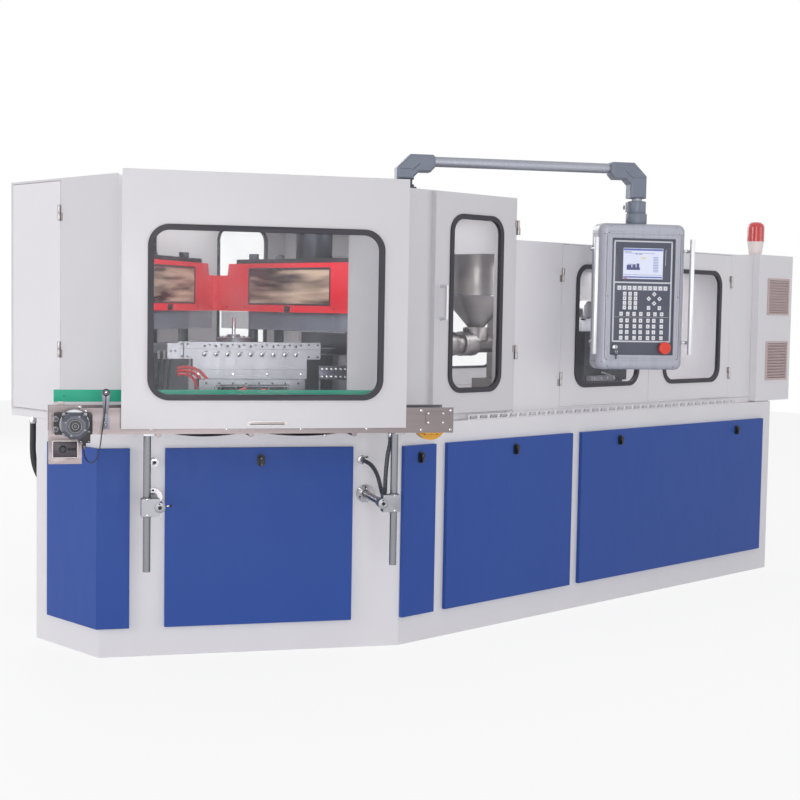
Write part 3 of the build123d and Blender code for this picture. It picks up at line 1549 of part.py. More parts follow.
def build_injection():
    start = turret_x + station_far - 20
    tip = start + nozzle_long + 20
    axis = Pos(0, 0, barrel_height) * Rot(0, 90, 0)

    def lying(begin, end, radius):
        return Pos((begin + end) / 2, 0, 0) * axis * Cylinder(radius, end - begin)

    barrel = lying(tip, barrel_end, barrel_radius) + lying(start, tip, 23.9)
    gap = (barrel_end - tip - 260 - band_count * band_long) / band_count
    for index in range(band_count):
        begin = tip + 30 + index * (band_long + gap)
        barrel += lying(begin, begin + band_long, band_radius)
    barrel -= lying(tip + 20, barrel_end + 1, screw_radius + running_gap)
    throat = column(hopper_place, 0, barrel_height, barrel_height + 120, hopper_throat)
    barrel += column(hopper_place, 0, barrel_height + 20, barrel_height + 90, hopper_throat + 25)
    barrel -= lying(tip + 20, barrel_end + 1, screw_radius + running_gap)
    barrel -= column(hopper_place, 0, barrel_height, barrel_height + 120, hopper_throat - 15)
    screw = lying(tip + 60, carriage_end - 300, screw_radius - 6)
    flights = 14
    pitch = (barrel_end - tip - 120) / flights
    for index in range(flights):
        begin = tip + 80 + index * pitch
        screw += lying(begin, begin + 9, screw_radius)
    save("feed_screw", screw)
    cone_low = barrel_height + 90
    rim = Cylinder(hopper_radius, hopper_top - hopper_cone)
    rim -= Cylinder(hopper_radius - 4, hopper_top - hopper_cone)
    cone = Cone(hopper_throat, hopper_radius, hopper_cone - cone_low)
    cone -= Cone(hopper_throat - 4, hopper_radius - 4, hopper_cone - cone_low)
    save("hopper", Pos(hopper_place, 0, (hopper_cone + hopper_top) / 2) * rim,
         Pos(hopper_place, 0, (hopper_cone + cone_low) / 2) * cone)
    bed_low = base_height
    bed = Pos((barrel_end + carriage_end) / 2, 0, bed_low + slide_bed_tall / 2) * Box(
        carriage_end - barrel_end + slide_bed_extra, 2 * carriage_half, slide_bed_tall)
    housing_low = bed_low + slide_bed_tall
    gearbox = Box(screw_drive_long, screw_drive_wide, screw_drive_tall)
    housing = Pos(barrel_end + screw_drive_long / 2, 0, housing_low + screw_drive_tall / 2) * gearbox
    housing -= lying(barrel_end - 5, barrel_end + screw_drive_long + 10, screw_radius)
    motor = lying(barrel_end + screw_drive_long, barrel_end + screw_drive_long + screw_motor_long,
                  screw_motor_radius)
    motor -= lying(barrel_end, carriage_end, screw_radius)
    save("injection_barrel", barrel, bed + housing + motor)


def build_power_pack():
    centre_x = (tank_start + tank_end) / 2
    tank = Pos(centre_x, 0, base_floor + tank_height / 2) * Box(tank_end - tank_start,
                                                                2 * tank_half, tank_height)
    sheet = 6.0
    tank -= Pos(centre_x, 0, base_floor + tank_height / 2) * Box(
        tank_end - tank_start - 2 * sheet, 2 * (tank_half - sheet), tank_height - 2 * sheet)
    tank_top = base_floor + tank_height
    axis_height = tank_top + pump_motor_radius + 20
    motor = Pos(centre_x - 120, 0, axis_height) * Rot(0, 90, 0) * Cylinder(pump_motor_radius,
                                                                           pump_motor_long)
    motor += Pos(centre_x - 120, 0, tank_top + 30) * Box(pump_motor_long * 0.7, 180, 60)
    pump = Pos(centre_x - 120 + pump_motor_long / 2 + 70, 0, axis_height) * Rot(0, 90, 0) * Cylinder(
        70, 140)
    save("power_pack", tank, motor + pump)


build_base()
build_covers()
build_deck()
build_tall_housing()
build_low_housing()
build_rear_windows()
build_grilles()
build_doors()
build_arm()
build_panel()
build_beacon()
build_conveyor()
build_motor()
build_supports()
build_fittings()
build_cords()
build_turret()
build_stations()
build_stripper()
build_injection()
build_power_pack()
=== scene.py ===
"""Looks of the injection blow moulding machine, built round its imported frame.

Lengths are in metres in the frame's own axes, except where a name ends in _mm.
"""

from math import cos, radians, sin, tan

import bmesh
import bpy
from mathutils import Matrix, Vector


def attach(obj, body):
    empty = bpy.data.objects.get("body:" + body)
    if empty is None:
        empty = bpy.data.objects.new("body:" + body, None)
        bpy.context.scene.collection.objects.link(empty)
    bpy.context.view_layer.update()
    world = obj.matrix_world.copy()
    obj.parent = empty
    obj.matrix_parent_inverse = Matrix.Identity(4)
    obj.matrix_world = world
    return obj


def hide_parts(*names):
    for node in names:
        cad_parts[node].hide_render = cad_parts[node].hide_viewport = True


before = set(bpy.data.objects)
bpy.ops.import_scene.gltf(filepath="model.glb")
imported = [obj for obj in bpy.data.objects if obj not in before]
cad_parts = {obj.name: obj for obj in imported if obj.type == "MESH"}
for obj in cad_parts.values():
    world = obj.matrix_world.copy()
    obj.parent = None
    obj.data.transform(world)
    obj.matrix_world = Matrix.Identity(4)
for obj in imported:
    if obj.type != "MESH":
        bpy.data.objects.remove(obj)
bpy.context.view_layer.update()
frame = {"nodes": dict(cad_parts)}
nodes = frame["nodes"]
scene = bpy.context.scene
scene.view_settings.view_transform = "Standard"


# Camera, fitted to the photo
eye = Vector((-5.399, -5.404, 1.5))
heading = radians(45.44)
pitch = radians(-3.72)
roll = radians(0.98)
focal_pixels = 1446.4
picture_pixels = 800
sensor_mm = 36.0


def place_camera():
    ahead = Vector((cos(heading) * cos(pitch), sin(heading) * cos(pitch), sin(pitch)))
    right = Vector((sin(heading), -cos(heading), 0))
    up = right.cross(ahead)
    level_right = right * cos(roll) + up * sin(roll)
    level_up = up * cos(roll) - right * sin(roll)
    turn = Matrix((level_right, level_up, -ahead)).transposed().to_4x4()
    data = bpy.data.cameras.new("photo camera")
    data.sensor_width = sensor_mm
    data.lens = focal_pixels / picture_pixels * sensor_mm
    data.clip_end = 60
    camera = bpy.data.objects.new("photo camera", data)
    camera.matrix_world = Matrix.Translation(eye) @ turn
    scene.collection.objects.link(camera)
    scene.camera = camera


place_camera()


# Walls and places, in millimetres
class Wall:
    """Upright plane, in millimetres: across to the right as seen, up, and out to the viewer."""

    def __init__(self, x, y, turn):
        self.normal = Vector((cos(radians(turn)), sin(radians(turn)), 0))
        self.right = Vector((-self.normal.y, self.normal.x, 0))
        self.origin = Vector((x, y, 0))
        columns = (self.right, Vector((0, 0, 1)), self.normal)
        self.matrix = Matrix.Translation(self.origin) @ Matrix(columns).transposed().to_4x4()
        self.inverse = self.matrix.inverted()
        self.to_metres = Matrix.Diagonal((0.001, 0.001, 0.001, 1)) @ self.matrix

    def at(self, across_mm, up_mm, out_mm):
        return self.matrix @ Vector((across_mm, up_mm, out_mm)) / 1000

    def local(self, point):
        return self.inverse @ (point * 1000)


# Half widths of the base and of its nose, and the length of its straight sides
base_half, nose_half = 900, 250
side_long = 3030
chamfer_y = (base_half + nose_half) / 2
chamfer_run = (base_half - nose_half) * tan(radians(60))
nose_x = -(side_long + chamfer_run) / 2
chamfer_x = nose_x + chamfer_run / 2
turret_x = chamfer_x + chamfer_y / tan(radians(60))
side = Wall(0, -base_half, -90)
rear = Wall(0, base_half, 90)
chamfer = Wall(chamfer_x, -chamfer_y, 240)
rear_chamfer = Wall(chamfer_x, chamfer_y, 120)
nose = Wall(nose_x, 0, 180)
cabinet_end = Wall(2280, 0, 0)
arm_turn = -32.5
mast_x, mast_y = -595, -521
hanger_place = 1165
panel_shift = 12
panel_place = hanger_place + panel_shift
panel = Wall(mast_x + panel_place * cos(radians(arm_turn)),
    mast_y + panel_place * sin(radians(arm_turn)), arm_turn - 90)
strip_station = Wall(turret_x, 0, 240)
inject_station = Wall(turret_x, 0, 0)
blow_station = Wall(turret_x, 0, 120)
base_height = 980
arm_height = 2181


# Shader nodes. A value given to a helper is a number, a colour or another node's socket.
def feed(tree, socket, value):
    """Link a socket to another one, or set its value."""
    if isinstance(value, bpy.types.NodeSocket):
        tree.links.new(value, socket)
    else:
        socket.default_value = value


def feed_all(tree, node, **inputs):
    """Feed a node's inputs by name, with a space written as an underscore."""
    for label, value in inputs.items():
        feed(tree, node.inputs[label.replace("_", " ")], value)
    return node


def add_node(tree, kind, **inputs):
    return feed_all(tree, tree.nodes.new("ShaderNode" + kind), **inputs)


def noise(tree, vector, scale, detail=3.0, rough=0.55):
    return add_node(tree, "TexNoise", Vector=vector, Scale=scale, Detail=detail,
        Roughness=rough).outputs["Fac"]


def remap(tree, value, low, high, to_low, to_high):
    return add_node(tree, "MapRange", Value=value, From_Min=low, From_Max=high, To_Min=to_low,
        To_Max=to_high).outputs["Result"]


def stretched(tree, vector, scales):
    return add_node(tree, "Mapping", Vector=vector, Scale=scales).outputs["Vector"]


def maths(tree, kind, first, second):
    node = tree.nodes.new("ShaderNodeMath")
    node.operation = kind
    for socket, value in zip(node.inputs, (first, second)):
        feed(tree, socket, value)
    return node.outputs[0]


def blend_colour(tree, share, first, second, kind="MIX"):
    node = tree.nodes.new("ShaderNodeMix")
    node.data_type, node.blend_type = "RGBA", kind
    for label, value in (("Factor", share), ("A", first), ("B", second)):
        sockets = [socket for socket in node.inputs if socket.name == label and socket.enabled]
        feed(tree, sockets[0], value)
    return [socket for socket in node.outputs if socket.enabled][0]


def new_group(name, roughness, **numbers):
    """Group with the sockets that the materials share, and numbers of its own."""
    tree = bpy.data.node_groups.new(name, "ShaderNodeTree")
    sockets = [("Vector", "Vector", None), ("Colour", "Color", (1, 1, 1, 1)),
        ("Roughness", "Float", roughness)]
    sockets += [(label, "Float", number) for label, number in numbers.items()]
    for label, kind, default in sockets:
        socket = tree.interface.new_socket(label, in_out="INPUT", socket_type="NodeSocket" + kind)
        if default is not None:
            socket.default_value = default
    for label, kind in (("Colour", "Color"), ("Roughness", "Float"), ("Height", "Float")):
        tree.interface.new_socket(label, in_out="OUTPUT", socket_type="NodeSocket" + kind)
    return tree, tree.nodes.new("NodeGroupInput").outputs


def end_group(tree, colour, roughness, height):
    feed_all(tree, tree.nodes.new("NodeGroupOutput"), Colour=colour, Roughness=roughness,
        Height=height)
    return tree


def paint_group():
    """Sprayed paint: slow shade drift, faint handling marks and orange peel."""
    tree, given = new_group("Sprayed paint", 0.35, Drift=0.05)
    vector, colour = given["Vector"], given["Colour"]
    slow = noise(tree, vector, 1.7, 4.0)
    marks = noise(tree, stretched(tree, vector, (9, 9, 2)), 3.0, 5.0, 0.65)
    darker = blend_colour(tree, 1.0, colour, (0.86, 0.86, 0.88, 1), "MULTIPLY")
    share = maths(tree, "MULTIPLY", remap(tree, slow, 0.3, 0.7, 0, 1), given["Drift"])
    tinted = blend_colour(tree, maths(tree, "MULTIPLY", share, 6.0), colour, darker)
    worn = maths(tree, "ADD", given["Roughness"], remap(tree, marks, 0.35, 0.75, -0.04, 0.07))
    return end_group(tree, tinted, worn, noise(tree, vector, 420.0, 1.0))


def brushed_group():
    """Sheet or bar metal with fine grain along one direction and dull patches."""
    tree, given = new_group("Brushed metal", 0.3)
    vector, colour = given["Vector"], given["Colour"]
    grain = noise(tree, vector, 60.0, 4.0, 0.7)
    patch = noise(tree, vector, 1.2, 3.0)
    darker = blend_colour(tree, 1.0, colour, (0.72, 0.72, 0.74, 1), "MULTIPLY")
    shade = blend_colour(tree, remap(tree, grain, 0.3, 0.75, 0.0, 0.55), colour, darker)
    dull = blend_colour(tree, remap(tree, patch, 0.45, 0.8, 0, 0.5), shade, darker)
    varied = maths(tree, "ADD", remap(tree, grain, 0.3, 0.7, -0.06, 0.1),
        remap(tree, patch, 0.3, 0.7, -0.04, 0.08))
    return end_group(tree, dull, maths(tree, "ADD", given["Roughness"], varied), grain)


def grainy_group():
    """Moulded plastic, rubber and castings: fine pebble grain and slow dust."""
    tree, given = new_group("Moulded grain", 0.5, Grain=300.0, Dust=0.1)
    vector, colour = given["Vector"], given["Colour"]
    pebbles = noise(tree, vector, given["Grain"], 2.0, 0.5)
    slow = noise(tree, vector, 6.0, 4.0, 0.6)
    pale = blend_colour(tree, 1.0, colour, (0.05, 0.05, 0.052, 1), "ADD")
    share = maths(tree, "MULTIPLY", remap(tree, slow, 0.4, 0.75, 0, 2), given["Dust"])
    varied = maths(tree, "ADD", given["Roughness"], remap(tree, slow, 0.3, 0.7, -0.05, 0.08))
    return end_group(tree, blend_colour(tree, share, colour, pale), varied, pebbles)


paint_tree = paint_group()
brushed_tree = brushed_group()
grainy_tree = grainy_group()


# Materials, their colours as they look on a screen, 0 to 255
bump_depth = 0.0004
coat_roughness = 0.12


def linear(colour):
    """Scene colour of a colour given as it looks on a screen."""
    made = []
    for level in colour:
        part = level / 255
        made.append(part / 12.92 if part <= 0.04045 else ((part + 0.055) / 1.055) ** 2.4)
    return (*made, 1.0)


def new_material(name):
    material = bpy.data.materials.new(name)
    material.use_nodes = True
    return material, material.node_tree, material.node_tree.nodes["Principled BSDF"]


def object_place(tree):
    return tree.nodes.new("ShaderNodeTexCoord").outputs["Object"]


def finish(name, group, colour, roughness, metallic=0.0, bump=0.05, stretch=None, coat=0.0,
        specular=0.5, rim=1.0, **numbers):
    """Material from a shared group, on Object coordinates; an edge shade under 1 darkens the
    colour where the surface is seen edge-on: painted shade along its outline.
    """
    material, tree, shader = new_material(name)
    vector = object_place(tree)
    if stretch:
        vector = stretched(tree, vector, stretch)
    look = tree.nodes.new("ShaderNodeGroup")
    look.node_tree = group
    feed_all(tree, look, Vector=vector, Colour=linear(colour), Roughness=roughness, **numbers)
    shade = look.outputs["Colour"]
    # Painted shade: the colour darkens towards the outline, where the surface turns away from the
    # camera, standing in for the shading of round and edged parts.
    if rim < 1:
        facing = add_node(tree, "LayerWeight", Blend=0.5).outputs["Facing"]
        darker = blend_colour(tree, 1.0, shade, (rim, rim, rim, 1), "MULTIPLY")
        shade = blend_colour(tree, remap(tree, facing, 0.1, 0.85, 0.0, 1.0), shade, darker)
    bumper = add_node(tree, "Bump", Strength=bump, Distance=bump_depth,
        Height=look.outputs["Height"])
    feed_all(tree, shader, Base_Color=shade, Roughness=look.outputs["Roughness"],
        Normal=bumper.outputs["Normal"], Metallic=metallic, Coat_Weight=coat,
        Coat_Roughness=coat_roughness, Specular_IOR_Level=specular)
    return material


def paint(name, colour, roughness=0.38, drift=0.05, **more):
    return finish(name, paint_tree, colour, roughness, bump=0.06, Drift=drift, **more)


# Metals carry painted shade along their outlines unless told otherwise.
def metal(name, colour, roughness=0.3, stretch=(1, 1, 14), bump=0.04, rim=0.45):
    return finish(name, brushed_tree, colour, roughness, 1.0, bump, stretch, rim=rim)


def plastic(name, colour, roughness=0.45, grain=380.0, dust=0.1, bump=0.08, **more):
    return finish(name, grainy_tree, colour, roughness, bump=bump, Grain=grain, Dust=dust, **more)


white_paint = paint("white machine paint", (229, 227, 230), 0.34, 0.04, coat=0.15)
guard_paint = paint("white guard paint", (211, 209, 212), 0.34, 0.04, coat=0.15)
blue_paint = paint("blue cover paint", (46, 80, 158), 0.45, 0.05, specular=0.25)
green_paint = paint("green guard paint", (34, 184, 148), 0.4, 0.05, specular=0.3)
red_paint = paint("red hood paint", (236, 26, 46), 0.34, 0.06, coat=0.15)
yellow_paint = paint("yellow guard paint", (222, 164, 48), 0.4, 0.08)
tank_paint = paint("tank paint", (120, 126, 134), 0.45, 0.08)
panel_paint = paint("panel casing paint", (186, 188, 200), 0.28, 0.05, coat=0.3, rim=0.6)
# Painted shade: dark grey for the shadow in seams, gaps and slots, and round the stop button and
# key switch.
seam_shadow_paint = paint("seam shadow", (92, 94, 106), 0.5, 0.05)
elbow_paint = finish("cast elbow paint", grainy_tree, (118, 124, 138), 0.42, metallic=0.2,
    bump=0.12, Grain=240.0, Dust=0.1)
mast_paint = finish("mast foot paint", grainy_tree, (74, 78, 90), 0.45, metallic=0.2, bump=0.12,
    Grain=240.0, Dust=0.1)
motor_paint = finish("motor casting paint", grainy_tree, (78, 80, 92), 0.36, metallic=0.2,
    bump=0.15, Grain=260.0, Dust=0.2)
stainless = metal("brushed stainless", (190, 184, 182), 0.34)
stainless_long = metal("stainless sheet", (132, 123, 124), 0.34, stretch=(1, 1, 30), rim=0.7)
bar_steel = metal("drawn bar", (162, 163, 168), 0.28, stretch=(20, 20, 1), rim=0.3)
tube_steel = metal("anodised tube", (172, 174, 184), 0.5, stretch=(2, 2, 2), rim=0.8)
ground_steel = metal("ground tool steel", (146, 146, 152), 0.34, stretch=(12, 1, 1), rim=0.7)
dark_steel = metal("dark machined steel", (96, 98, 106), 0.42, stretch=(2, 2, 2))
chrome = metal("polished steel", (214, 214, 218), 0.14, stretch=(2, 2, 2), bump=0.01)
cast_metal = finish("blasted casting", grainy_tree, (152, 152, 158), 0.4, metallic=0.7, bump=0.2,
    Grain=300.0, Dust=0.05, rim=0.5)
handle_metal = metal("handle tube", (232, 232, 236), 0.42, stretch=(8, 8, 1), rim=0.85)
seal_rubber = plastic("window seal rubber", (40, 38, 48), 0.5, 300.0, 0.05)
cord_rubber = plastic("black cord rubber", (34, 34, 38), 0.5, 500.0, 0.15)


# Scale of a wave texture that repeats every millimetre
wave_scale = 314


def painted_rib_bands(material, dark, pale, pitch_mm):
    """Cross ribs of a corrugated cord, painted as dark and pale bands along the height: painted
    shade between the ribs and painted highlight on them.
    """
    tree = material.node_tree
    bands = add_node(tree, "TexWave", Scale=wave_scale / pitch_mm, Distortion=0.4,
        Vector=object_place(tree))
    bands.bands_direction = "Z"
    colour = blend_colour(tree, remap(tree, bands.outputs["Fac"], 0.3, 0.9, 0.0, 1.0),
        linear(dark), linear(pale))
    tree.links.new(colour, tree.nodes["Principled BSDF"].inputs["Base Color"])
    return material


# The conduit's ribs are painted light and shade bands on a smooth tube.
conduit_rubber = painted_rib_bands(plastic("corrugated conduit", (40, 40, 46), 0.42, 400.0, 0.1),
    (26, 26, 32), (92, 92, 102), 5.5)
black_plastic = plastic("black latch plastic", (20, 20, 25), 0.42, 420.0, 0.04)
belt_rubber = plastic("conveyor belt", (46, 42, 58), 0.55, 900.0, 0.2)
film_dark = plastic("dark keypad film", (84, 88, 102), 0.36, 700.0, 0.04)
film_pale = plastic("pale keypad film", (214, 214, 222), 0.36, 700.0, 0.04)
key_cap = plastic("key cap", (238, 238, 242), 0.34, 600.0, 0.03)
legend_ink = plastic("key legend", (66, 68, 82), 0.4, 700.0, 0.02)
smoke_film = plastic("tinted control window", (58, 48, 58), 0.35, 500.0, 0.05)
polished_arm = metal("turned support arm", (184, 182, 186), 0.2, stretch=(2, 2, 2), bump=0.01,
    rim=0.3)
blade_steel = metal("sensor blade", (126, 126, 136), 0.42, stretch=(1, 1, 20), rim=0.8)
cream_plastic = plastic("cream beacon plastic", (240, 230, 226), 0.34, 300.0, 0.05)
slat_paint = paint("grille slats", (204, 184, 184), 0.45, 0.06)
slat_shade = paint("grille shade", (98, 82, 86), 0.6, 0.06)
stop_red = plastic("stop button red", (232, 62, 40), 0.3, 500.0, 0.03, coat=0.3)
lens_red = plastic("beacon red lens", (206, 34, 36), 0.1, 300.0, 0.03, coat=1.0)
# Near black for dark parts, and for holes, sockets and gaps, where it is painted shade.
dark_part_and_hole_shade = plastic("dark parts and painted hole shade", (22, 22, 26), 0.7, 400.0, 0.05)
valve_red = plastic("red valve body", (226, 60, 60), 0.35, 400.0, 0.05, coat=0.2)


def glowing(name, colour, strength):
    """Lit display colour: a lit surface with its own weak light."""
    material = plastic(name, colour, 0.25, 600.0, 0.02)
    tree = material.node_tree
    feed_all(tree, tree.nodes["Principled BSDF"], Emission_Color=linear(colour),
        Emission_Strength=strength)
    return material


screen_white = glowing("display white", (210, 214, 232), 0.3)
screen_blue = glowing("display blue", (104, 118, 176), 0.2)
screen_pale = glowing("display list", (166, 172, 206), 0.2)
screen_ink = glowing("display sketch", (84, 90, 130), 0.15)
screen_warm = glowing("display button", (214, 208, 190), 0.24)
screen_red = glowing("display mark", (206, 84, 90), 0.2)
film_mid = plastic("grey keypad film", (146, 148, 162), 0.36, 700.0, 0.04)
terminal_blue = plastic("blue terminal block", (40, 74, 176), 0.4, 500.0, 0.05)


def clear_sheet(name, tint, roughness, alpha):
    material, tree, shader = new_material(name)
    smears = noise(tree, object_place(tree), 5.0, 4.0)
    varied = [remap(tree, smears, 0.3, 0.8, least, least + 0.05) for least in (roughness, alpha)]
    feed_all(tree, shader, Roughness=varied[0], Alpha=varied[1], Base_Color=linear(tint), IOR=1.49)
    return material


clear_pane = clear_sheet("clear polycarbonate", (226, 230, 238), 0.03, 0.025)
smoked_pane = clear_sheet("smoked hood window", (150, 112, 92), 0.12, 0.9)


def paint_pane_reflection(material, dark, pale):
    """Painted reflection: soft bands across a pane, as of things mirrored in it and seen through
    it.
    """
    tree = material.node_tree
    bands = noise(tree, stretched(tree, object_place(tree), (1.2, 1.2, 9)), 2.6, 2.0, 0.4)
    share = remap(tree, bands, 0.36, 0.64, 0.0, 1.0)
    tree.links.new(blend_colour(tree, share, linear(dark), linear(pale)),
        tree.nodes["Principled BSDF"].inputs["Base Color"])


paint_pane_reflection(smoked_pane, (66, 44, 44), (214, 190, 168))
guard_sheet = clear_sheet("grey guard sheet", (150, 156, 172), 0.08, 0.45)

# Dressing of the CAD nodes
def dress(names, *materials, pick=None):
    """Give CAD nodes their materials; pick tells which one a face takes from its centre."""
    for name in names.split():
        mesh = nodes[name].data
        mesh.materials.clear()
        for material in materials:
            mesh.materials.append(material)
        for face in mesh.polygons:
            face.material_index = pick(face) if pick else 0


def soften(width_mm, names):
    """Rounded edges on CAD nodes, by modifiers."""
    for name in names.split():
        weld = nodes[name].modifiers.new("join", "WELD")
        weld.merge_threshold = 0.00002
        bevel = nodes[name].modifiers.new("edges", "BEVEL")
        bevel.width = width_mm / 1000
        bevel.segments = 2
        bevel.limit_method = "ANGLE"
        bevel.angle_limit = radians(35)
        bevel.harden_normals = True


class Window:
    """Rounded window of a wall, to tell the faces of its rubber seal from the sheet round it."""

    corner_mm = 85
    lap_mm = 9
    back_mm = 13
    proud_mm = 7

    def __init__(self, wall, centre, width, low, high, front):
        self.wall, self.front = wall, front
        self.centre = (centre, (low + high) / 2)
        self.half = (width / 2, (high - low) / 2)

    def outside(self, across, up):
        """Distance outside the seal's outline, negative inside it."""
        reach = [abs(place - middle) - half + self.corner_mm for place, middle,
            half in zip((across, up), self.centre, self.half)]
        beyond = Vector([max(part, 0) for part in reach]).length
        return beyond + min(max(reach), 0) - self.corner_mm

    def is_seal(self, spot):
        apart = self.outside(spot.x, spot.y)
        out = spot.z - self.front
        if not -self.back_mm < out < self.proud_mm + 1:
            return False
        return apart < -self.lap_mm - 0.3 or (apart < 0.5 and out > 0.5)


gate_window = Window(chamfer, -14, 948, 1115, 1804, 420)
tall_window = Window(side, -463.5, 360, 1107, 1923, -19.7)
left_window = Window(side, 571, 540, 1105, 1725, -45)
right_window = Window(side, 1328, 540, 1105, 1725, -45)
rear_panes = (Window(rear_chamfer, 14, 948, 1115, 1804, 190), Window(rear, 463.5, 360, 1107, 1923,
    -45), Window(rear, -571, 540, 1105, 1725, -45), Window(rear, -1328, 540, 1105, 1725, -45))


def door_pick(window):
    """Sheet 0, seal 1, and what else stands proud of the door, such as hinge leaves, 2."""
    def pick(face):
        spot = window.wall.local(face.center)
        if window.is_seal(spot):
            return 1
        return 2 if spot.z > window.front + 0.2 else 0
    return pick


def gate_pick(face):
    spot = chamfer.local(face.center)
    if gate_window.is_seal(spot):
        return 1
    if spot.y > 2012.4 or (spot.y < 1036 and spot.z > 420.2):
        return 2
    return 0


def rear_pick(face):
    for window in rear_panes:
        spot = window.wall.local(face.center)
        if window.outside(spot.x, spot.y) < 1 and abs(spot.z - window.front) < 20:
            flat = min(abs(spot.z - window.front + 3), abs(spot.z - window.front + 8))
            return 1 if flat < 0.1 else 0
    return 0


def hood_pick(face):
    for wall in (strip_station, inject_station, blow_station):
        spot = wall.local(face.center)
        if abs(spot.x) < 300 and 1502 < spot.y < 1668 and 332.9 < spot.z < 336.5:
            return 1
    return 0


def out_of(wall, limit, low=-1e9, high=1e9):
    """Faces beyond a distance out of the wall and between two heights take material 1."""
    def pick(face):
        spot = wall.local(face.center)
        return 1 if spot.z > limit and low < spot.y < high else 0
    return pick


def motor_pick(face):
    spot = chamfer.local(face.center)
    return 0 if spot.z > 505 and (spot.x < -714 or spot.y > 1010) else 1


def guard_pick(face):
    spot = chamfer.local(face.center)
    if spot.y < 984:
        return 1
    return 2 if spot.y < 1097.2 and abs(face.normal.z) < 0.5 else 0


def keypad_pick(face):
    spot = panel.local(face.center)
    return 1 if spot.z > 77.05 else 0


def handle_pick(face):
    spot = panel.local(face.center)
    return 1 if spot.y < 1287 or spot.y > 1844 else 0


def support_pick(face):
    """Polished arms and flanges behind the drawn rods and clamps."""
    spot = chamfer.local(face.center)
    if spot.z < 288:
        return 1
    return 2 if 640 < spot.y < 718 else 0


def conveyor_pick(face):
    spot = chamfer.local(face.center)
    return 1 if 228 < spot.z < 391 else 0


def dome_pick(face):
    return 1 if face.center.z * 1000 < 1918 else 0


dress(" ".join(nodes), white_paint)
dress("tall_housing", guard_paint)
dress("base_covers", blue_paint)
dress("gate_cover", guard_paint, seal_rubber, stainless, pick=gate_pick)
dress("tall_door", guard_paint, seal_rubber, stainless, pick=door_pick(tall_window))
dress("left_service_door", white_paint, seal_rubber, stainless, pick=door_pick(left_window))
dress("right_service_door", white_paint, seal_rubber, stainless, pick=door_pick(right_window))
dress("nose_door", white_paint, stainless, pick=out_of(nose, 0.2))
dress("cabinet_door", white_paint, stainless, pick=out_of(cabinet_end, 22.4))
dress("rear_windows", seal_rubber, clear_pane, pick=rear_pick)
dress("station_hoods", red_paint, smoked_pane, pick=hood_pick)
dress("conveyor_guards", green_paint, yellow_paint, stainless, pick=guard_pick)
dress("power_pack", tank_paint)
dress("panel_casing", panel_paint)
dress("swivel_collar swivel_coupling arm_elbows", elbow_paint)
dress("mast_base", mast_paint)
dress("conveyor_motor", motor_paint, black_plastic, pick=motor_pick)
dress("conveyor_frame", stainless_long, dark_steel, pick=conveyor_pick)
dress("control_box", stainless_long, black_plastic, pick=out_of(chamfer, 398.5, 905, 945))
dress("sensor_post", blade_steel)
dress("conveyor_supports", bar_steel, polished_arm, cast_metal, pick=support_pick)
dress(
    "drive_roller tail_roller core_rods turret_shaft turret_head station_beds "
    "injection_platen blow_platen stripper_plate", ground_steel)
dress("arm_tube", tube_steel)
dress("clamp_frames", dark_steel)
dress("feed_screw hose_fittings key_switch", chrome)
dress("injection_barrel hopper hinge_leaves", stainless)
dress("cover_latches", black_plastic)
dress("tall_door_handle", handle_metal)
dress("panel_handles", handle_metal, black_plastic, pick=handle_pick)
dress("panel_keypad", film_dark, key_cap, pick=keypad_pick)
dress("panel_screen", screen_white)
dress("emergency_stop", stop_red)
dress("beacon_base", cream_plastic)
dress("beacon_dome", lens_red, cream_plastic, pick=dome_pick)
dress("conveyor_belt", belt_rubber)
dress("cabinet_grilles", slat_paint)
dress("gate_pane tall_door_pane left_door_pane right_door_pane", clear_pane)

soften(1.6,
    "base_covers gate_cover tall_door left_service_door right_service_door nose_door "
    "cabinet_door tall_housing low_housing end_cabinet machine_deck")
soften(1.0,
    "conveyor_frame control_box conveyor_guards cover_latches rear_windows "
    "tall_door_handle panel_handles mast_base swivel_coupling swivel_collar "
    "beacon_base")
soften(2.5,
    "conveyor_motor conveyor_supports station_beds injection_platen blow_platen "
    "stripper_plate turret_head clamp_frames injection_barrel power_pack")
soften(0.5, "panel_keypad hinge_leaves hose_fittings sensor_post key_switch")


# Parts shaped in millimetres
def soften_edges(part, edges, width, segments=2):
    bmesh.ops.bevel(part, geom=edges, offset=width, offset_type="OFFSET", segments=segments,
        profile=0.5, affect="EDGES", material=-1, clamp_overlap=True)


def rim_edges(part, out):
    """Edges that lie in the front plane of a part."""
    return [edge for edge in part.edges if all(abs(vert.co.z - out) < 1e-4 for vert in edge.verts)]


def box_part(left, right, low, high, near, far, corner=0.0, edge=0.0, turn=0.0):
    """Block or plate with rounded corners as seen and softened front edges."""
    part = bmesh.new()
    bmesh.ops.create_cube(part, size=1, matrix=Matrix.Diagonal((right - left, high - low,
        far - near, 1)))
    if corner:
        upright = [one for one in part.edges
            if (one.verts[0].co - one.verts[1].co).to_2d().length < 1e-5]
        soften_edges(part, upright, corner, 6)
    if edge:
        soften_edges(part, rim_edges(part, (far - near) / 2), edge)
    middle = Vector(((left + right) / 2, (low + high) / 2, (near + far) / 2))
    bmesh.ops.transform(part, verts=part.verts, matrix=Matrix.Translation(middle)
        @ Matrix.Rotation(radians(turn), 4, "Z"))
    return part


def disc_part(across, up, near, far, radius, segments=28, edge=0.0, tip=None):
    """Round or many-sided body that stands out of the wall."""
    part = bmesh.new()
    bmesh.ops.create_cone(part, cap_ends=True, segments=segments, radius1=radius, radius2=radius
        if tip is None else tip, depth=far - near)
    if edge:
        soften_edges(part, rim_edges(part, (far - near) / 2), edge)
    bmesh.ops.translate(part, verts=part.verts, vec=(across, up, (near + far) / 2))
    return part


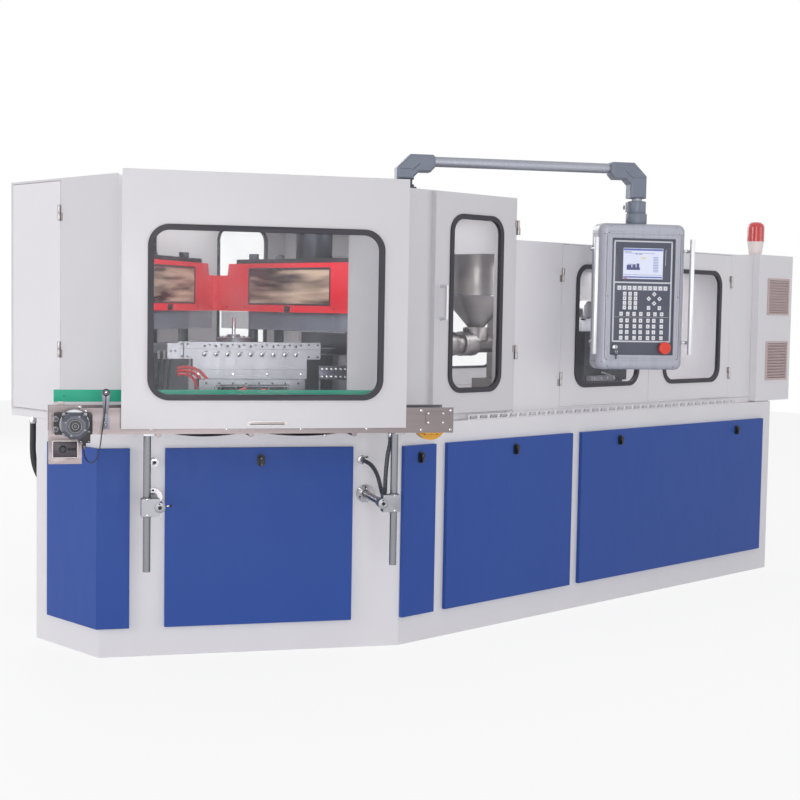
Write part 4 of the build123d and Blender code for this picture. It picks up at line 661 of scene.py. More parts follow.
def bar_part(start, end, radius, segments=16, edge=0.0):
    """Round bar between two places."""
    start, end = Vector(start), Vector(end)
    way = end - start
    part = disc_part(0, 0, -way.length / 2, way.length / 2, radius, segments, edge)
    turn = Vector((0, 0, 1)).rotation_difference(way).to_matrix().to_4x4()
    bmesh.ops.transform(part, verts=part.verts, matrix=Matrix.Translation((start + end) / 2)
        @ turn)
    return part


def spun_circle(radius, tube, sides, turn, steps, place):
    """Circle spun round the upright of its own place, as far as it is told."""
    part = bmesh.new()
    bmesh.ops.create_circle(part, segments=sides, radius=tube, matrix=Matrix.Translation((radius,
        0, 0)) @ Matrix.Rotation(radians(90), 4, "X"))
    bmesh.ops.spin(part, geom=part.verts[:] + part.edges[:], cent=(0, 0, 0), axis=(0, 0, 1),
        angle=radians(turn), steps=steps, use_merge=turn == 360)
    bmesh.ops.holes_fill(part, edges=[edge for edge in part.edges if edge.is_boundary])
    bmesh.ops.transform(part, verts=part.verts, matrix=place)
    return part


def ring_part(across, up, out, radius, tube, segments=36, sides=8, tilt=Matrix()):
    """Round ring that lies in the wall's plane, or tilted."""
    place = Matrix.Translation((across, up, out)) @ tilt
    return spun_circle(radius, tube, sides, 360, segments, place)


def turned(part, axis, degrees, place):
    """The part turned about an axis through its origin, then moved."""
    bmesh.ops.rotate(part, verts=part.verts, cent=(0, 0, 0),
        matrix=Matrix.Rotation(radians(degrees), 3, axis))
    bmesh.ops.translate(part, verts=part.verts, vec=place)
    return part


def hoop_part(across, up, out, *sizes):
    """Ring that lies level."""
    return turned(ring_part(0, 0, 0, *sizes), "X", 90, (across, up, out))


def front_face(part):
    return max(part.faces, key=lambda face: (round(face.calc_center_median().z, 4),
        face.calc_area()))


def sink(part, width, depth):
    """Step the front face in by a width and push it down by a depth."""
    face = front_face(part)
    bmesh.ops.inset_region(part, faces=[face], thickness=width, use_even_offset=True)
    made = bmesh.ops.extrude_face_region(part, geom=[face])
    moved = [item for item in made["geom"] if isinstance(item, bmesh.types.BMVert)]
    bmesh.ops.translate(part, verts=moved, vec=(0, 0, -depth))
    if face.is_valid:
        bmesh.ops.delete(part, geom=[face], context="FACES_ONLY")
    return part


def frame_part(left, right, low, high, near, far, corner, width, edge=0.0):
    """Flat frame round an opening."""
    part = box_part(left, right, low, high, near, far, corner)
    sink(part, width, far - near)
    back = [face for face in part.faces if all(abs(vert.co.z - near) < 1e-4
        for vert in face.verts)]
    bmesh.ops.delete(part, geom=back, context="FACES")
    loose = [one for one in part.edges if one.is_boundary]
    bmesh.ops.bridge_loops(part, edges=loose)
    if edge:
        rims = [one for one in rim_edges(part, far) if one.calc_face_angle(0) > 1]
        soften_edges(part, rims, edge)
    return part


def socket_screw(across, up, out, radius, height):
    part = disc_part(across, up, out, out + height, radius, 16, radius * 0.18)
    return sink(part, radius * 0.38, height * 0.6)


def hex_bolt(across, up, out, radius, height):
    return disc_part(across, up, out, out + height, radius, 6, radius * 0.12)


# Edges that turn by more than this many degrees look sharp
sharp_turn = 38


class Piece:
    """One piece shaped in a wall's millimetres, which rides on a body of the frame."""

    def __init__(self, name, body, wall, slot, *materials):
        self.name, self.body, self.wall, self.slot = name, body, wall, slot
        self.materials = materials
        self.shape = bmesh.new()

    def add(self, part, look=0):
        """Take a part up, with the number of its material."""
        for face in part.faces:
            face.material_index = look
        bmesh.ops.recalc_face_normals(part, faces=part.faces)
        mesh = bpy.data.meshes.new("part")
        part.to_mesh(mesh)
        part.free()
        self.shape.from_mesh(mesh)
        bpy.data.meshes.remove(mesh)

    def finish(self):
        bmesh.ops.transform(self.shape, verts=self.shape.verts, matrix=self.wall.to_metres)
        mesh = bpy.data.meshes.new(self.name)
        self.shape.to_mesh(mesh)
        self.shape.free()
        for material in self.materials:
            mesh.materials.append(material)
        mesh.polygons.foreach_set("use_smooth", [True] * len(mesh.polygons))
        mesh.set_sharp_from_angle(angle=radians(sharp_turn))
        piece = bpy.data.objects.new(self.name, mesh)
        scene.collection.objects.link(piece)
        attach(piece, self.body)

    def screws(self, places, out, height, sizes, socket, looks=(0, 1)):
        """Round screw heads with a dark six-sided mark that paints the shade of the socket hole;
        socket is its low, high and radius.
        """
        for across, up in places:
            self.disc(across, up, out, out + height, *sizes, look=looks[0])
            self.disc(across, up, out + socket[0], out + socket[1], socket[2], 6, look=looks[1])


def adder(maker):
    """Method of a piece that makes a part and adds it, look being the number of its material."""
    def add_made(self, *sizes, look=0, **more):
        self.add(maker(*sizes, **more), look)
    return add_made


makers = {"box": box_part, "disc": disc_part, "bar": bar_part, "ring": ring_part,
    "hoop": hoop_part, "frame": frame_part, "bolt": hex_bolt, "screw": socket_screw}
for method, maker in makers.items():
    setattr(Piece, method, adder(maker))


# Operator panel
keypad_out = 77.0
panel_front_out = 85.0
function_row = [26.3 * index - 118.8 for index in range(10)]
number_columns = (-90.2, -62.6, -34.4)
lower_columns = (-105, -74.6, -36.6, -5.7, 32.6, 62.5, 102)
middle_columns = (-105.9, -72.1, -39.7, -5.1, 33.7, 67.8, 102)
arrow_places = ((61.6, 1577.6, 0), (33.7, 1555.4, 90), (88.9, 1555.4, -90), (61.6, 1533.1, 180))

def build_casing_trim():
    trim = Piece("casing_trim", "panel", panel, "panel_grey", panel_paint, seam_shadow_paint)
    out = panel_front_out
    trim.frame(-187, 187, 1256, 1874, out - 1, out + 2.4, 24, 9, 1.4)
    trim.frame(-176, 176, 1268, 1860, out - 1, out + 1.2, 14, 12, 0.8)
    for across in (-189.2, 189.2):
        trim.box(across - 0.8, across + 0.8, 1262, 1866, out - 1, out + 0.12, look=1)
    for sign in (-1, 1):
        ends = sorted((sign * 190, sign * 204))
        for up in (1250, 1864):
            trim.box(*ends, up - 0.9, up + 0.9, out - 20, out - 3, look=1)
            trim.box(sign * 220.15 - 0.3, sign * 220.15 + 0.3, up - 0.9, up + 0.9, -32, out - 40,
                look=1)
        for low, high in ((1222, 1256), (1874, 1902)):
            trim.box(sign * 168 - 0.9, sign * 168 + 0.9, low, high, out - 12, out - 3, look=1)
    trim.finish()
    screws = Piece("casing_screws", "panel", panel, "bright_steel", dark_steel)
    for across in (-180, 180):
        for up in (1262, 1565, 1868):
            screws.screw(across, up, out + 0.2, 2.6, 2.6)
    screws.finish()

def build_keypad_face():
    face = Piece("keypad_face", "panel", panel, "keypad_film", film_pale, film_dark, seam_shadow_paint,
        film_mid)
    out = keypad_out
    face.frame(-150, 150, 1344, 1834, out - 0.4, out + 1.5, 5, 7.5, 0.7)
    face.box(-143, 143, 1628.5, 1636, out - 0.4, out + 1.5, 0, 0.6)
    face.box(-131.5, 131.5, 1594, 1617.5, out - 0.4, out + 0.35, 3, look=3)
    face.frame(-108, 106, 1645, 1803, out - 0.4, out + 0.9, 3, 4.5, 0.4, look=1)
    face.box(114.5, 116.5, 1716, 1792, out - 0.4, out + 0.5, 0.8)
    face.box(-138, 138, 1465.2, 1466.4, out - 0.4, out + 0.25)
    # Dark frame round the keypad's recess: painted shadow border.
    face.frame(-161, 161, 1283, 1844, out - 0.5, out + 0.6, 4, 3, look=2)
    face.finish()

def build_key_legends():
    """Printed marks on the key caps: a pattern of strokes that differs from key to key."""
    marks = Piece("key_legends", "panel", panel, "keypad_film", legend_ink)
    top = keypad_out + 2.05 - 0.9
    strokes = (((-3.2, 3.2, 0), (0, 2.6, 90)), ((0, 3.4, 90),), ((0, 3.0, 0), (3.4, 2.2, 0)),
        ((0, 3.2, 45), (0, 3.2, -45)), ((-2.6, 3.4, 90), (2.6, 3.4, 90)),
        ((0, 3.6, 20), (3.2, 1.6, 90)), ((2.4, 3.0, 0), (-2.4, 3.0, 0), (0, 2.4, 90)))
    rows = [(1606, function_row)]
    rows += [(1577.7 - 22.1 * row, number_columns) for row in range(4)]
    rows += [(1511, (33.7, 89.5)), (1480.9, middle_columns)]
    rows += [(1448.8 - 27.9 * row, lower_columns) for row in range(4)]
    count = 0
    for up, places in rows:
        for across in places:
            for shift, half, turn in strokes[(count * 5 + count // 3) % len(strokes)]:
                along = Vector((0, shift)) if turn == 0 else Vector((shift, 0))
                marks.box(across + along.x - half, across + along.x + half, up + along.y - 0.8,
                    up + along.y + 0.8, top, top + 0.2, turn=turn)
            count += 1
    for across, up, turn in arrow_places:
        marks.add(turned(disc_part(0, 0, top, top + 0.2, 4.6, 3), "Z", turn, (across, up, 0)))
    marks.finish()

def build_display():
    """Generic machine page: bars, a list, a sketch of the machine and a lit button."""
    page = Piece("display_page", "panel", panel, "screen_glass", screen_blue, screen_pale,
        screen_ink, screen_warm, screen_red)
    out = keypad_out + 0.5
    rects = [(-101, 99, 1786, 1795.5, 0), (-101, 99, 1655, 1662, 0), (-101, 99, 1668, 1671, 1),
        (-97, 60, 1772, 1775, 1), (-99, -80, 1650.8, 1654, 4), (-96, -60, 1777, 1782, 1),
        (-12, 14, 1744, 1757, 3), (-40, -28, 1768, 1771, 2), (-24, -6, 1768, 1771, 2),
        (-84, -16, 1693, 1705, 2), (-84, -60, 1705, 1716, 2), (-55, -38, 1705, 1720, 2),
        (-34, -20, 1705, 1724, 2), (-80, -48, 1716, 1722, 1)]
    rects += [(52, 78, 1752 - 7.6 * index, 1757 - 7.6 * index, 1) for index in range(10)]
    for left, right, low, high, material in rects:
        page.box(left, right, low, high, out - 0.1, out + 0.16, look=material)
    page.finish()

def build_panel_controls():
    collar = Piece("stop_collar", "panel", panel, "panel_grey", seam_shadow_paint)
    collar.disc(115.5, 1317, keypad_out - 0.5, keypad_out + 5, 19, 32, 1)
    collar.ring(-135, 1320, keypad_out + 1, 15, 1.8)
    collar.finish()
    ring = Piece("key_ring", "key", panel, "key_metal", chrome, dark_steel)
    tilt = Matrix.Rotation(radians(90), 4, "Y")
    ring.ring(-135, 1298, keypad_out + 25, 13, 1.1, tilt=tilt)
    ring.box(-139, -131, 1262, 1290, keypad_out + 21, keypad_out + 23.2, 3, 0.5, look=1)
    ring.disc(-135, 1284, keypad_out + 20.8, keypad_out + 23.4, 8, 20, 0.5, look=1)
    ring.disc(-135, 1320, keypad_out + 4, keypad_out + 8.5, 12, 28, 1)
    ring.finish()
    ribs = Piece("stop_ribs", "stop_button", panel, "signal_red", stop_red)
    ribs.ring(115.5, 1317, keypad_out + 23, 24, 1.3, 40)
    ribs.disc(115.5, 1317, keypad_out + 27.5, keypad_out + 29, 9, 32, 0.6)
    ribs.finish()
    caps = Piece("handle_mounts", "panel", panel, "handle_black", black_plastic, chrome)
    for sign in (-1, 1):
        for up in (1344, 1790):
            caps.disc(sign * 245, up, 32.5, 33.5, 9.5, 20)
            caps.bar((sign * 219.6, up, 43), (sign * 222.5, up, 43), 11, 24, 0.8, look=1)
    caps.finish()

build_casing_trim()
build_keypad_face()
build_key_legends()
build_display()
build_panel_controls()

# Arm
def build_arm_details():
    rings = Piece("coupling_rings", "arm", panel, "elbow_paint", elbow_paint, seam_shadow_paint)
    for up, radius, tube in ((2024, 43, 2.4), (1974, 45, 1.6)):
        rings.hoop(-12, up, 0, radius, tube, 40)
    rings.bar((-75, 1996, 0), (-79, 1996, 0), 11, 20, 1.2)
    rings.finish()

build_arm_details()

# Conveyor, motor and control box
drive_mm = (-766, 1026)

def build_motor_details():
    across, up = drive_mm
    motor = Piece("motor_details", "machine", chamfer, "motor_grey", motor_paint, black_plastic,
        bar_steel, cast_metal)
    motor.disc(across, up, 449, 459, 57, 40, 1.5, look=2)
    motor.box(across - 47, across + 47, up - 46, up + 46, 456, 463, 9, 1, look=1)
    for sign_a in (-1, 1):
        for sign_b in (-1, 1):
            place = (across + sign_a * 40, up + sign_b * 38)
            motor.disc(*place, 463, 464.5, 7, 20, look=3)
            motor.screw(*place, 464.5, 5.5, 6, look=3)
    for radius, tube in ((3.5, 1.2), (12, 1.4), (24, 1.5)):
        motor.ring(across, up, 564.6, radius, tube, 40, 6, look=3)
    for index in range(12):
        turn = radians(30 * index)
        start = (across + 9 * cos(turn), up + 9 * sin(turn), 564.2)
        end = (across + 27 * cos(turn), up + 27 * sin(turn), 564.2)
        motor.bar(start, end, 0.9, 6)
    motor.disc(across, up, 563, 563.6, 28, 40, look=1)
    for index in range(8):
        turn = radians(22.5 + 45 * index)
        place = (across + 39 * cos(turn), up + 39 * sin(turn))
        if index % 2:
            motor.screw(*place, 560.5, 3.4, 2.4, look=2)
    for level in range(5):
        motor.ring(across, up, 470 + 8 * level, 44.5, 1.7, 40, 6)
    motor.box(across + 18, across + 56, up - 66, up - 20, 517.8, 520.5, 4, 1, look=1)
    for sign_a, sign_b in ((-1, -1), (-1, 1), (1, -1), (1, 1)):
        motor.screw(across + 37 + 15 * sign_a, up - 43 + 19 * sign_b, 520, 2.4, 2, look=2)
    motor.bar((across + 36, up - 68, 500), (across + 36, up - 79, 500), 7, 6, 0.8, look=1)
    for place in ((-836, 1046), (-836, 1006)):
        motor.disc(*place, 449.5, 451, 10, 24, look=3)
        motor.screw(*place, 451, 8, 7)
    motor.finish()

def build_conveyor_screws():
    screws = Piece("conveyor_screws", "machine", chamfer, "bright_steel", chrome, dark_part_and_hole_shade,
        stainless, cast_metal)
    face = 398
    small = [(-722, 1070), (-722, 996), (-470, 998), (-172, 998), (128, 998), (400, 998),
        (756, 1072), (756, 992), (630, 1072), (630, 992), (-745, 1086)]
    screws.screws(small, face, 2.4, (5.2, 16, 0.8), (2.3, 2.6, 2.2))
    cover = [(across, up) for across in (660, 724) for up in (1022, 1060)]
    screws.screws(cover, face + 4, 1.8, (4.2, 14, 0.6), (1.7, 2, 1.9))
    screws.disc(-716, 994, face, face + 7, 12, 28, 1.2, look=3)
    screws.disc(-716, 994, face + 6.8, face + 7.3, 6.5, 24, look=1)
    screws.ring(-716, 994, face + 7, 8.4, 1.5)
    screws.box(236, 252, 958, 984, 300, 312, 2, 1, look=2)
    screws.bar((244, 966, 312), (244, 966, 318), 5, 6, 0.6)
    screws.finish()
    strip = Piece("guard_strip", "machine", chamfer, "grey_paint", white_paint)
    strip.box(-840, 500, 1086, 1096.6, 222.5, 227.5, 0, 0.8)
    strip.finish()
    holes = Piece("guard_fasteners", "machine", chamfer, "green_paint", green_paint, dark_part_and_hole_shade)
    places = [(across, 1121) for across in (-800, -500, -150, 200, 470)]
    holes.screws(places, 228, 2.4, (5, 16, 0.8), (2.2, 2.6, 2.2))
    holes.finish()
    dots = Piece("disc_guard_dots", "machine", chamfer, "black_plastic", yellow_paint, dark_part_and_hole_shade)
    for across in (-26, 4, 27):
        dots.disc(685 + across, 973 - abs(across) * 0.12, 349.6, 350.6, 3, 16, look=1)
    dots.finish()

def build_control_details():
    window = Piece("control_window", "machine", chamfer, "black_plastic", smoke_film, stainless,
        chrome, black_plastic, dark_steel)
    window.box(-847, -751, 889.5, 956.5, 394.8, 396.6, 4, 0.6)
    window.frame(-848, -750, 888.5, 957.5, 396, 398.8, 4, 3.5, 0.6, look=1)
    window.ring(-808, 923, 399, 13.5, 1.6, look=4)
    window.box(-809.3, -806.7, 915, 931, 408, 410.4, 1, 0.5, look=4)
    for across in (-784, -772, -761):
        window.disc(across, 923, 396.4, 399.5, 4.4, 20, 0.8, look=3)
        window.ring(across, 923, 397, 5.2, 0.8, 24, 6, look=4)
    window.finish()

def build_sensor_details():
    eye = Piece("sensor_eye", "machine", chamfer, "bright_steel", black_plastic, dark_part_and_hole_shade, chrome,
        stainless, blade_steel)
    eye.ring(-645, 1146, 412, 11.6, 2.6, 32)
    eye.disc(-645, 1146, 411.6, 412.6, 7, 24, look=1)
    eye.disc(-645, 1146, 412.4, 413.2, 2.6, 16, look=2)
    for up in (1018, 1037):
        eye.disc(-645, up, 401, 406, 5.4, 24, 0.8, look=1)
        eye.disc(-645, up, 405.8, 407, 2.4, 6, 0.4, look=2)
    blade = box_part(-17, 17, 1062, 1150, 401.1, 402.6, 0, 0.4)
    for vert in blade.verts:
        if vert.co.y < 1100:
            vert.co.x *= 0.5
    bmesh.ops.translate(blade, verts=blade.verts, vec=(-645, 0, 0))
    eye.add(blade, 4)
    eye.box(-653.5, -636.5, 1004, 1064, 401.1, 402.6, 2, 0.4, look=4)
    eye.bar((-645, 1137, 405), (-645, 1129, 405), 3.8, 16, 0.8)
    eye.finish()

def build_support_details():
    parts = Piece("support_details", "machine", chamfer, "bright_steel", cast_metal, dark_part_and_hole_shade,
        chrome, black_plastic)
    for place, outward in ((-428, -1), (491, 1)):
        rod = place + 50 * outward
        parts.disc(place, 679, 335.5, 337.2, 21.5, 36, 0.8)
        parts.disc(place, 679, 336.8, 337.6, 8.4, 6, look=1)
        parts.ring(place, 679, 337.4, 10.2, 1.2, 28, look=2)
        parts.disc(place - 2, 694, 336.8, 337.6, 3.2, 16, look=1)
        parts.screws(((rod, 648), (rod, 710)), 332.6, 1.8, (4.4, 20, 0.5), (1.6, 2.1, 2.2), (2, 1))
        for up in (716, 641):
            parts.hoop(rod, up, 310, 18, 2.4, 32)
        for turn in (90, 210, 330):
            spot = (place + 28 * cos(radians(turn)), 679 + 28 * sin(radians(turn)))
            parts.disc(*spot, 1, 4, 4.3, 6, look=1)
        parts.ring(place, 679, 8, 17, 2.4, 32)
        parts.box(rod - 14, rod + 14, 966, 973.6, 296, 324, 2)
    parts.bar((-400, 684, 322), (-388, 684, 322), 3, 12, 0.4, look=2)
    parts.bar((-388, 684, 322), (-380, 684, 322), 6.5, 20, 1.2, look=3)
    parts.finish()

def build_gland_details():
    nuts = Piece("gland_nuts", "machine", chamfer, "fitting_brass", chrome, dark_part_and_hole_shade, dark_steel)
    nuts.bolt(474, 828, 9.6, 20.5, 6)
    nuts.ring(474, 828, 25, 12.4, 2.2, 28)
    nuts.disc(-424, 828, 25.5, 27, 14, 28, 0.6)
    nuts.disc(-424, 828, 26.6, 27.4, 7.5, 24, look=1)
    nuts.ring(-424, 828, 9.5, 17, 1.6, 32)
    nuts.bar((487, 838, 20), (497, 843, 20), 4, 12, 0.6, look=2)
    nuts.finish()

build_motor_details()
build_conveyor_screws()
build_control_details()
build_sensor_details()
build_support_details()
build_gland_details()

# Doors, hinges and latches
tall_hinges = (1290, 1879)
service_hinges = (1152, 1666)
nose_hinges = (1288, 1872)
cabinet_hinges = (1186, 1630)

def build_hinge_screws():
    rows = (("tall", "tall_leaf", side, -183, -1, tall_hinges, -16.7),
        ("left", "left_leaf", side, 189, 1, service_hinges, -42),
        ("right", "right_leaf", side, 1695, -1, service_hinges, -42),
        ("nose", "nose_leaf", nose, -57, -1, nose_hinges, 3), ("end", "cabinet_leaf", cabinet_end,
        846, -1, cabinet_hinges, 25.3))
    for label, body, wall, across, moving_side, heights, front in rows:
        for part, carrier, shift in (("hinge", body, 1), ("fixed", "machine", -1)):
            screws = Piece(f"{label}_{part}_screws", carrier, wall, "bright_steel", chrome,
                dark_part_and_hole_shade)
            places = [(across + shift * moving_side * 13, height + shift * drop)
                for height in heights for drop in (10, 25)]
            screws.screws(places, front, 1.2, (2.6, 12, 0.4), (1.1, 1.35, 1.1))
            screws.finish()

def build_gate_trim():
    pull = Piece("gate_pull", "gate", chamfer, "bright_steel", stainless, dark_part_and_hole_shade)
    pull.bar((-14 - 70, 1023, 424.5), (-14 + 70, 1023, 424.5), 3.2, 16, 1.2)
    for across in (-84, 56):
        pull.disc(across, 1023, 420, 427, 4.6, 20, 1)
    # Dark strip under the pull bar: painted shadow of the bar.
    pull.box(-14 - 72, -14 + 72, 1017.5, 1019.5, 422.8, 423.6, look=1)
    pull.finish()
    lip = Piece("gate_lip", "gate", chamfer, "grey_paint", white_paint)
    lip.box(-584, 556, 1004, 1007, 413.6, 416.8, 0, 0.6)
    lip.finish()

def build_latch_details():
    narrow_left, narrow_right = -952.4 + 4, -952.4 + 205
    mid_left = narrow_right + 74
    long_left = mid_left + 900 + 71
    side_places = ((narrow_left + narrow_right) / 2, mid_left + 468, long_left + 0.186 * 1680,
        long_left + 0.832 * 1680)
    for label, wall, places in (("side", side, side_places), ("chamfer", chamfer, (27,)),
            ("rear", rear, [-place for place in side_places]), ("rear_chamfer", rear_chamfer,
            (-27,))):
        locks = Piece(label + "_latch_details", "machine", wall, "black_plastic", black_plastic,
            dark_steel, dark_part_and_hole_shade)
        for across in places:
            locks.ring(across, 840, 38, 8.4, 1.3, 28)
            locks.disc(across, 840, 37.6, 38.8, 4, 20, 0.4, look=1)
            locks.box(across - 3.4, across + 3.4, 812, 815, 37.8, 38.6, 0.8, look=1)
            locks.frame(across - 16.4, across + 16.4, 806.8, 857.2, 23.6, 25.2, 14, 2, 0.4)
        locks.finish()

def build_handle_mounts():
    mounts = Piece("door_handle_mounts", "tall_leaf", side, "handle_black", chrome)
    for up in (1445.5, 1591.5):
        mounts.disc(-695, up, -19.9, -16, 8.5, 28, 1.2)
    mounts.finish()

build_hinge_screws()
build_gate_trim()
build_latch_details()
build_handle_mounts()

# Inside the guards
core_places = [50 * (index - 4) for index in range(9)]

def build_stripper_details():
    """Nipples, screw holes and end blocks of the stripping bar."""
    bar = Piece("stripper_fittings", "stripper", strip_station, "bright_steel", chrome, dark_part_and_hole_shade,
        ground_steel)
    for across in core_places:
        bar.bolt(across, 1278, 539, 10.5, 7)
        bar.disc(across, 1278, 546, 552, 7.5, 20, 1.2)
        bar.disc(across, 1278, 551.6, 552.6, 4.2, 16, look=1)
        bar.bar((across + 6, 1284, 549), (across + 13, 1290, 549), 3.4, 12, 0.6)
        bar.disc(across + 22, 1319, 529.8, 530.8, 4.4, 16, look=1)
    for across in (-298, -272, 258, 298):
        for up in (1268, 1321):
            bar.disc(across, up, 529.8, 531.2, 4.6, 16, look=1)
    for across in (-345, -326):
        bar.disc(across, 1291, 544.8, 546.2, 4.2, 16, look=1)
    bar.box(-292, -288, 1258.5, 1330.5, 529.8, 530.6, look=1)
    bar.box(-309, 309, 1300, 1301.2, 529.8, 530.5, look=1)
    bar.box(-249, 249, 1212, 1213, 529.8, 530.5, look=1)
    for across in (-225, -75, 75, 225):
        bar.screw(across, 1192, 530, 6, 2.5)
    bar.finish()
    base = Piece("trestle_fittings", "machine", strip_station, "machined_steel", ground_steel,
        dark_part_and_hole_shade, chrome, black_plastic, valve_red)
    front = 600
    for index in range(8):
        base.disc(-200 + 57.1 * index, 1156, front - 0.2, front + 1.4, 4.4, 16, look=1)
    for across in (-226, -164, 164, 226):
        base.box(across - 1, across + 1, 1012, 1138, front - 0.2, front + 0.6, look=1)
    base.box(-152, 152, 1094, 1142, front - 0.2, front + 1, 3, look=3)
    base.frame(-156, 156, 1090, 1146, front - 0.2, front + 6, 3, 5, 0.8)
    for across in (-104, 104):
        base.disc(across, 1118, front, front + 22, 17, 32, 3, look=3)
        base.disc(across, 1118, front + 21.8, front + 24, 8, 28, 1, look=2)
    for across in (-138, -70, 70, 138):
        base.bar((across, 1096, front + 6), (across, 1140, front + 6), 4, 16, look=2)
    for across, up, turn in ((-46, 1122, 50), (-24, 1110, -45), (42, 1120, 30)):
        base.bar((across - 15, up, front + 12), (across + 15, up + turn * 0.2, front + 12), 8, 20,
            2, look=4)
        base.disc(across, up, front + 12, front + 24, 6.5, 6, 1, look=4)
    base.box(-8, 28, 1110, 1126, front, front + 16, 2, 1, look=2)
    base.finish()

def build_station_pipes():
    """Manifolds, bent water pipes and terminal blocks beside the stripping station."""
    pipes = Piece("station_pipes", "machine", strip_station, "machined_steel", valve_red,
        dark_steel, terminal_blue, chrome, black_plastic, cast_metal)
    for index, radius in enumerate((70, 88, 106)):
        tilt = Matrix.Rotation(radians(20 - 12 * index), 4, "Y")
        start = Matrix.Translation((-296 + 8 * index, 1124 - 4 * index, 560 - 16 * index))
        pipes.add(spun_circle(radius, 6.5, 12, 110, 18, start @ tilt))
    pipes.box(-330, -236, 1010.2, 1032, 470, 560, 3, 1, look=1)
    pipes.box(-430, -345, 1050, 1082, 500, 560, 3, 1, look=2)
    pipes.box(-440, -335, 1010.2, 1050, 490, 570, 3, 1, look=1)
    pipes.box(290, 372, 1010.2, 1040, 500, 575, 3, 1, look=1)
    pipes.box(392, 470, 1066, 1094, 500, 560, 3, 1, look=2)
    pipes.box(384, 480, 1010.2, 1066, 490, 570, 3, 1, look=4)
    for index in range(7):
        across = 330 + 21 * index
        for up in (1214, 1180):
            pipes.bolt(across, up, 470, 6, 8, look=3)
            pipes.disc(across, up, 478, 486, 4, 12, 0.8, look=3)
    pipes.box(316, 474, 1166, 1228, 430, 470, 3, 1.5, look=1)
    for across in (324, 466):
        pipes.box(across - 6, across + 6, 1010.2, 1168, 440, 460, 2, 1, look=1)
    for across in (-410, -386, -362):
        pipes.bar((across, 1080, 520), (across + 26, 1252, 440), 6, 16, 1, look=4)
        pipes.bar((across + 26, 1252, 440), (across + 26, 1290, 440), 9, 6, 1, look=3)
    pipes.bar((-455, 1010.2, 470), (-455, 1330, 470), 9, 20, 1, look=5)
    pipes.bar((498, 1010.2, 470), (498, 1420, 470), 9, 20, 1, look=5)
    pipes.finish()

def build_turret_details():
    head = Piece("turret_fittings", "turret", strip_station, "machined_steel", cast_metal,
        dark_part_and_hole_shade, chrome, ground_steel)
    hub_top = 1340
    for index in range(8):
        turn = radians(45 * index + 10)
        place = (58 * cos(turn), 58 * sin(turn))
        head.add(turned(socket_screw(0, 0, 0, 8, 6), "X", -90, (place[0], hub_top, place[1])), 2)
    head.bar((0, hub_top - 4, 0), (0, hub_top + 92, 0), 9, 20, 1.5, look=2)
    head.bar((0, hub_top - 2, 0), (0, hub_top + 14, 0), 30, 32, 3)
    head.finish()
    for label, wall in (("strip", strip_station), ("inject", inject_station),
            ("blow", blow_station)):
        cores = Piece(label + "_core_blocks", "turret", wall, "machined_steel", ground_steel,
            dark_part_and_hole_shade, chrome)
        cores.box(-246, 246, 1274, 1306, 293, 304, 2, 1.2)
        for across in core_places:
            cores.disc(across, 1290, 303.8, 309, 13.5, 24, 1)
        for across in (-235, -125, -25, 25, 125, 235):
            for up in (1279.5, 1300.5):
                cores.disc(across, up, 303.8, 304.6, 2.6, 12, look=1)
        cores.finish()

def build_hood_details():
    """Window frames, catches and hanging guard sheets of the two clamp hoods."""
    for label, wall in (("inject", inject_station), ("blow", blow_station)):
        hood = Piece(label + "_hood_trim", "machine", wall, "red_paint", red_paint, smoke_film,
            chrome, dark_part_and_hole_shade)
        hood.add(turned(frame_part(-308, 308, 1494, 1676, -331.6, -329.4, 6, 9, 0.6), "Y", 180,
            (0, 0, 0)), 1)
        hood.box(-540, 540, 1460.5, 1463, 321, 330.2)
        for across in (-538, 538):
            hood.box(across - 1.5, across + 1.5, 1461, 1639, 312, 330.2)
        hood.box(-16, 16, 1462, 1490, 318, 330.2, 3, 1, look=3)
        for across in (-480, -330, 330, 480):
            hood.disc(across, 1482, 328, 330.2, 5, 16, look=2)
        hood.finish()
        sheet = Piece(label + "_guard_sheet", "machine", wall, "clear_pane", guard_sheet)
        sheet.box(-530, 530, 1372, 1458, 333.5, 336.5)
        sheet.finish()

def build_barrel_details():
    """Heater band clamps, their terminals and the bolts of the screw drive."""
    barrel = Piece("barrel_bands", "machine", inject_station, "heater_steel", chrome, dark_steel,
        black_plastic)
    start = turret_x + 620
    tip = start + 80
    pitch = (760 - tip - 260 - 6 * 110) / 6 + 110
    for index in range(6):
        begin = tip + 30 + index * pitch - turret_x
        for out in (begin + 18, begin + 92):
            barrel.ring(0, 1300, out, 66.4, 1.6, 40, 6)
        barrel.box(-10, 10, 1364, 1384, begin + 40, begin + 68, 2, 1, look=2)
        barrel.box(-6, 6, 1360, 1366, begin + 12, begin + 98, look=1)
    for across in (-130, 130):
        for up in (1130, 1300, 1470):
            barrel.screw(across, up, 1020 - turret_x - 0.3, 9, 6)
    barrel.finish()
    bin_ring = Piece("hopper_rim", "machine", inject_station, "bright_steel", chrome)
    for up, radius in ((1789, 190), (1562, 190.5)):
        bin_ring.hoop(0, up, 500 - turret_x, radius, 4, 56)
    bin_ring.finish()

build_stripper_details()
build_station_pipes()
build_turret_details()
build_hood_details()
build_barrel_details()

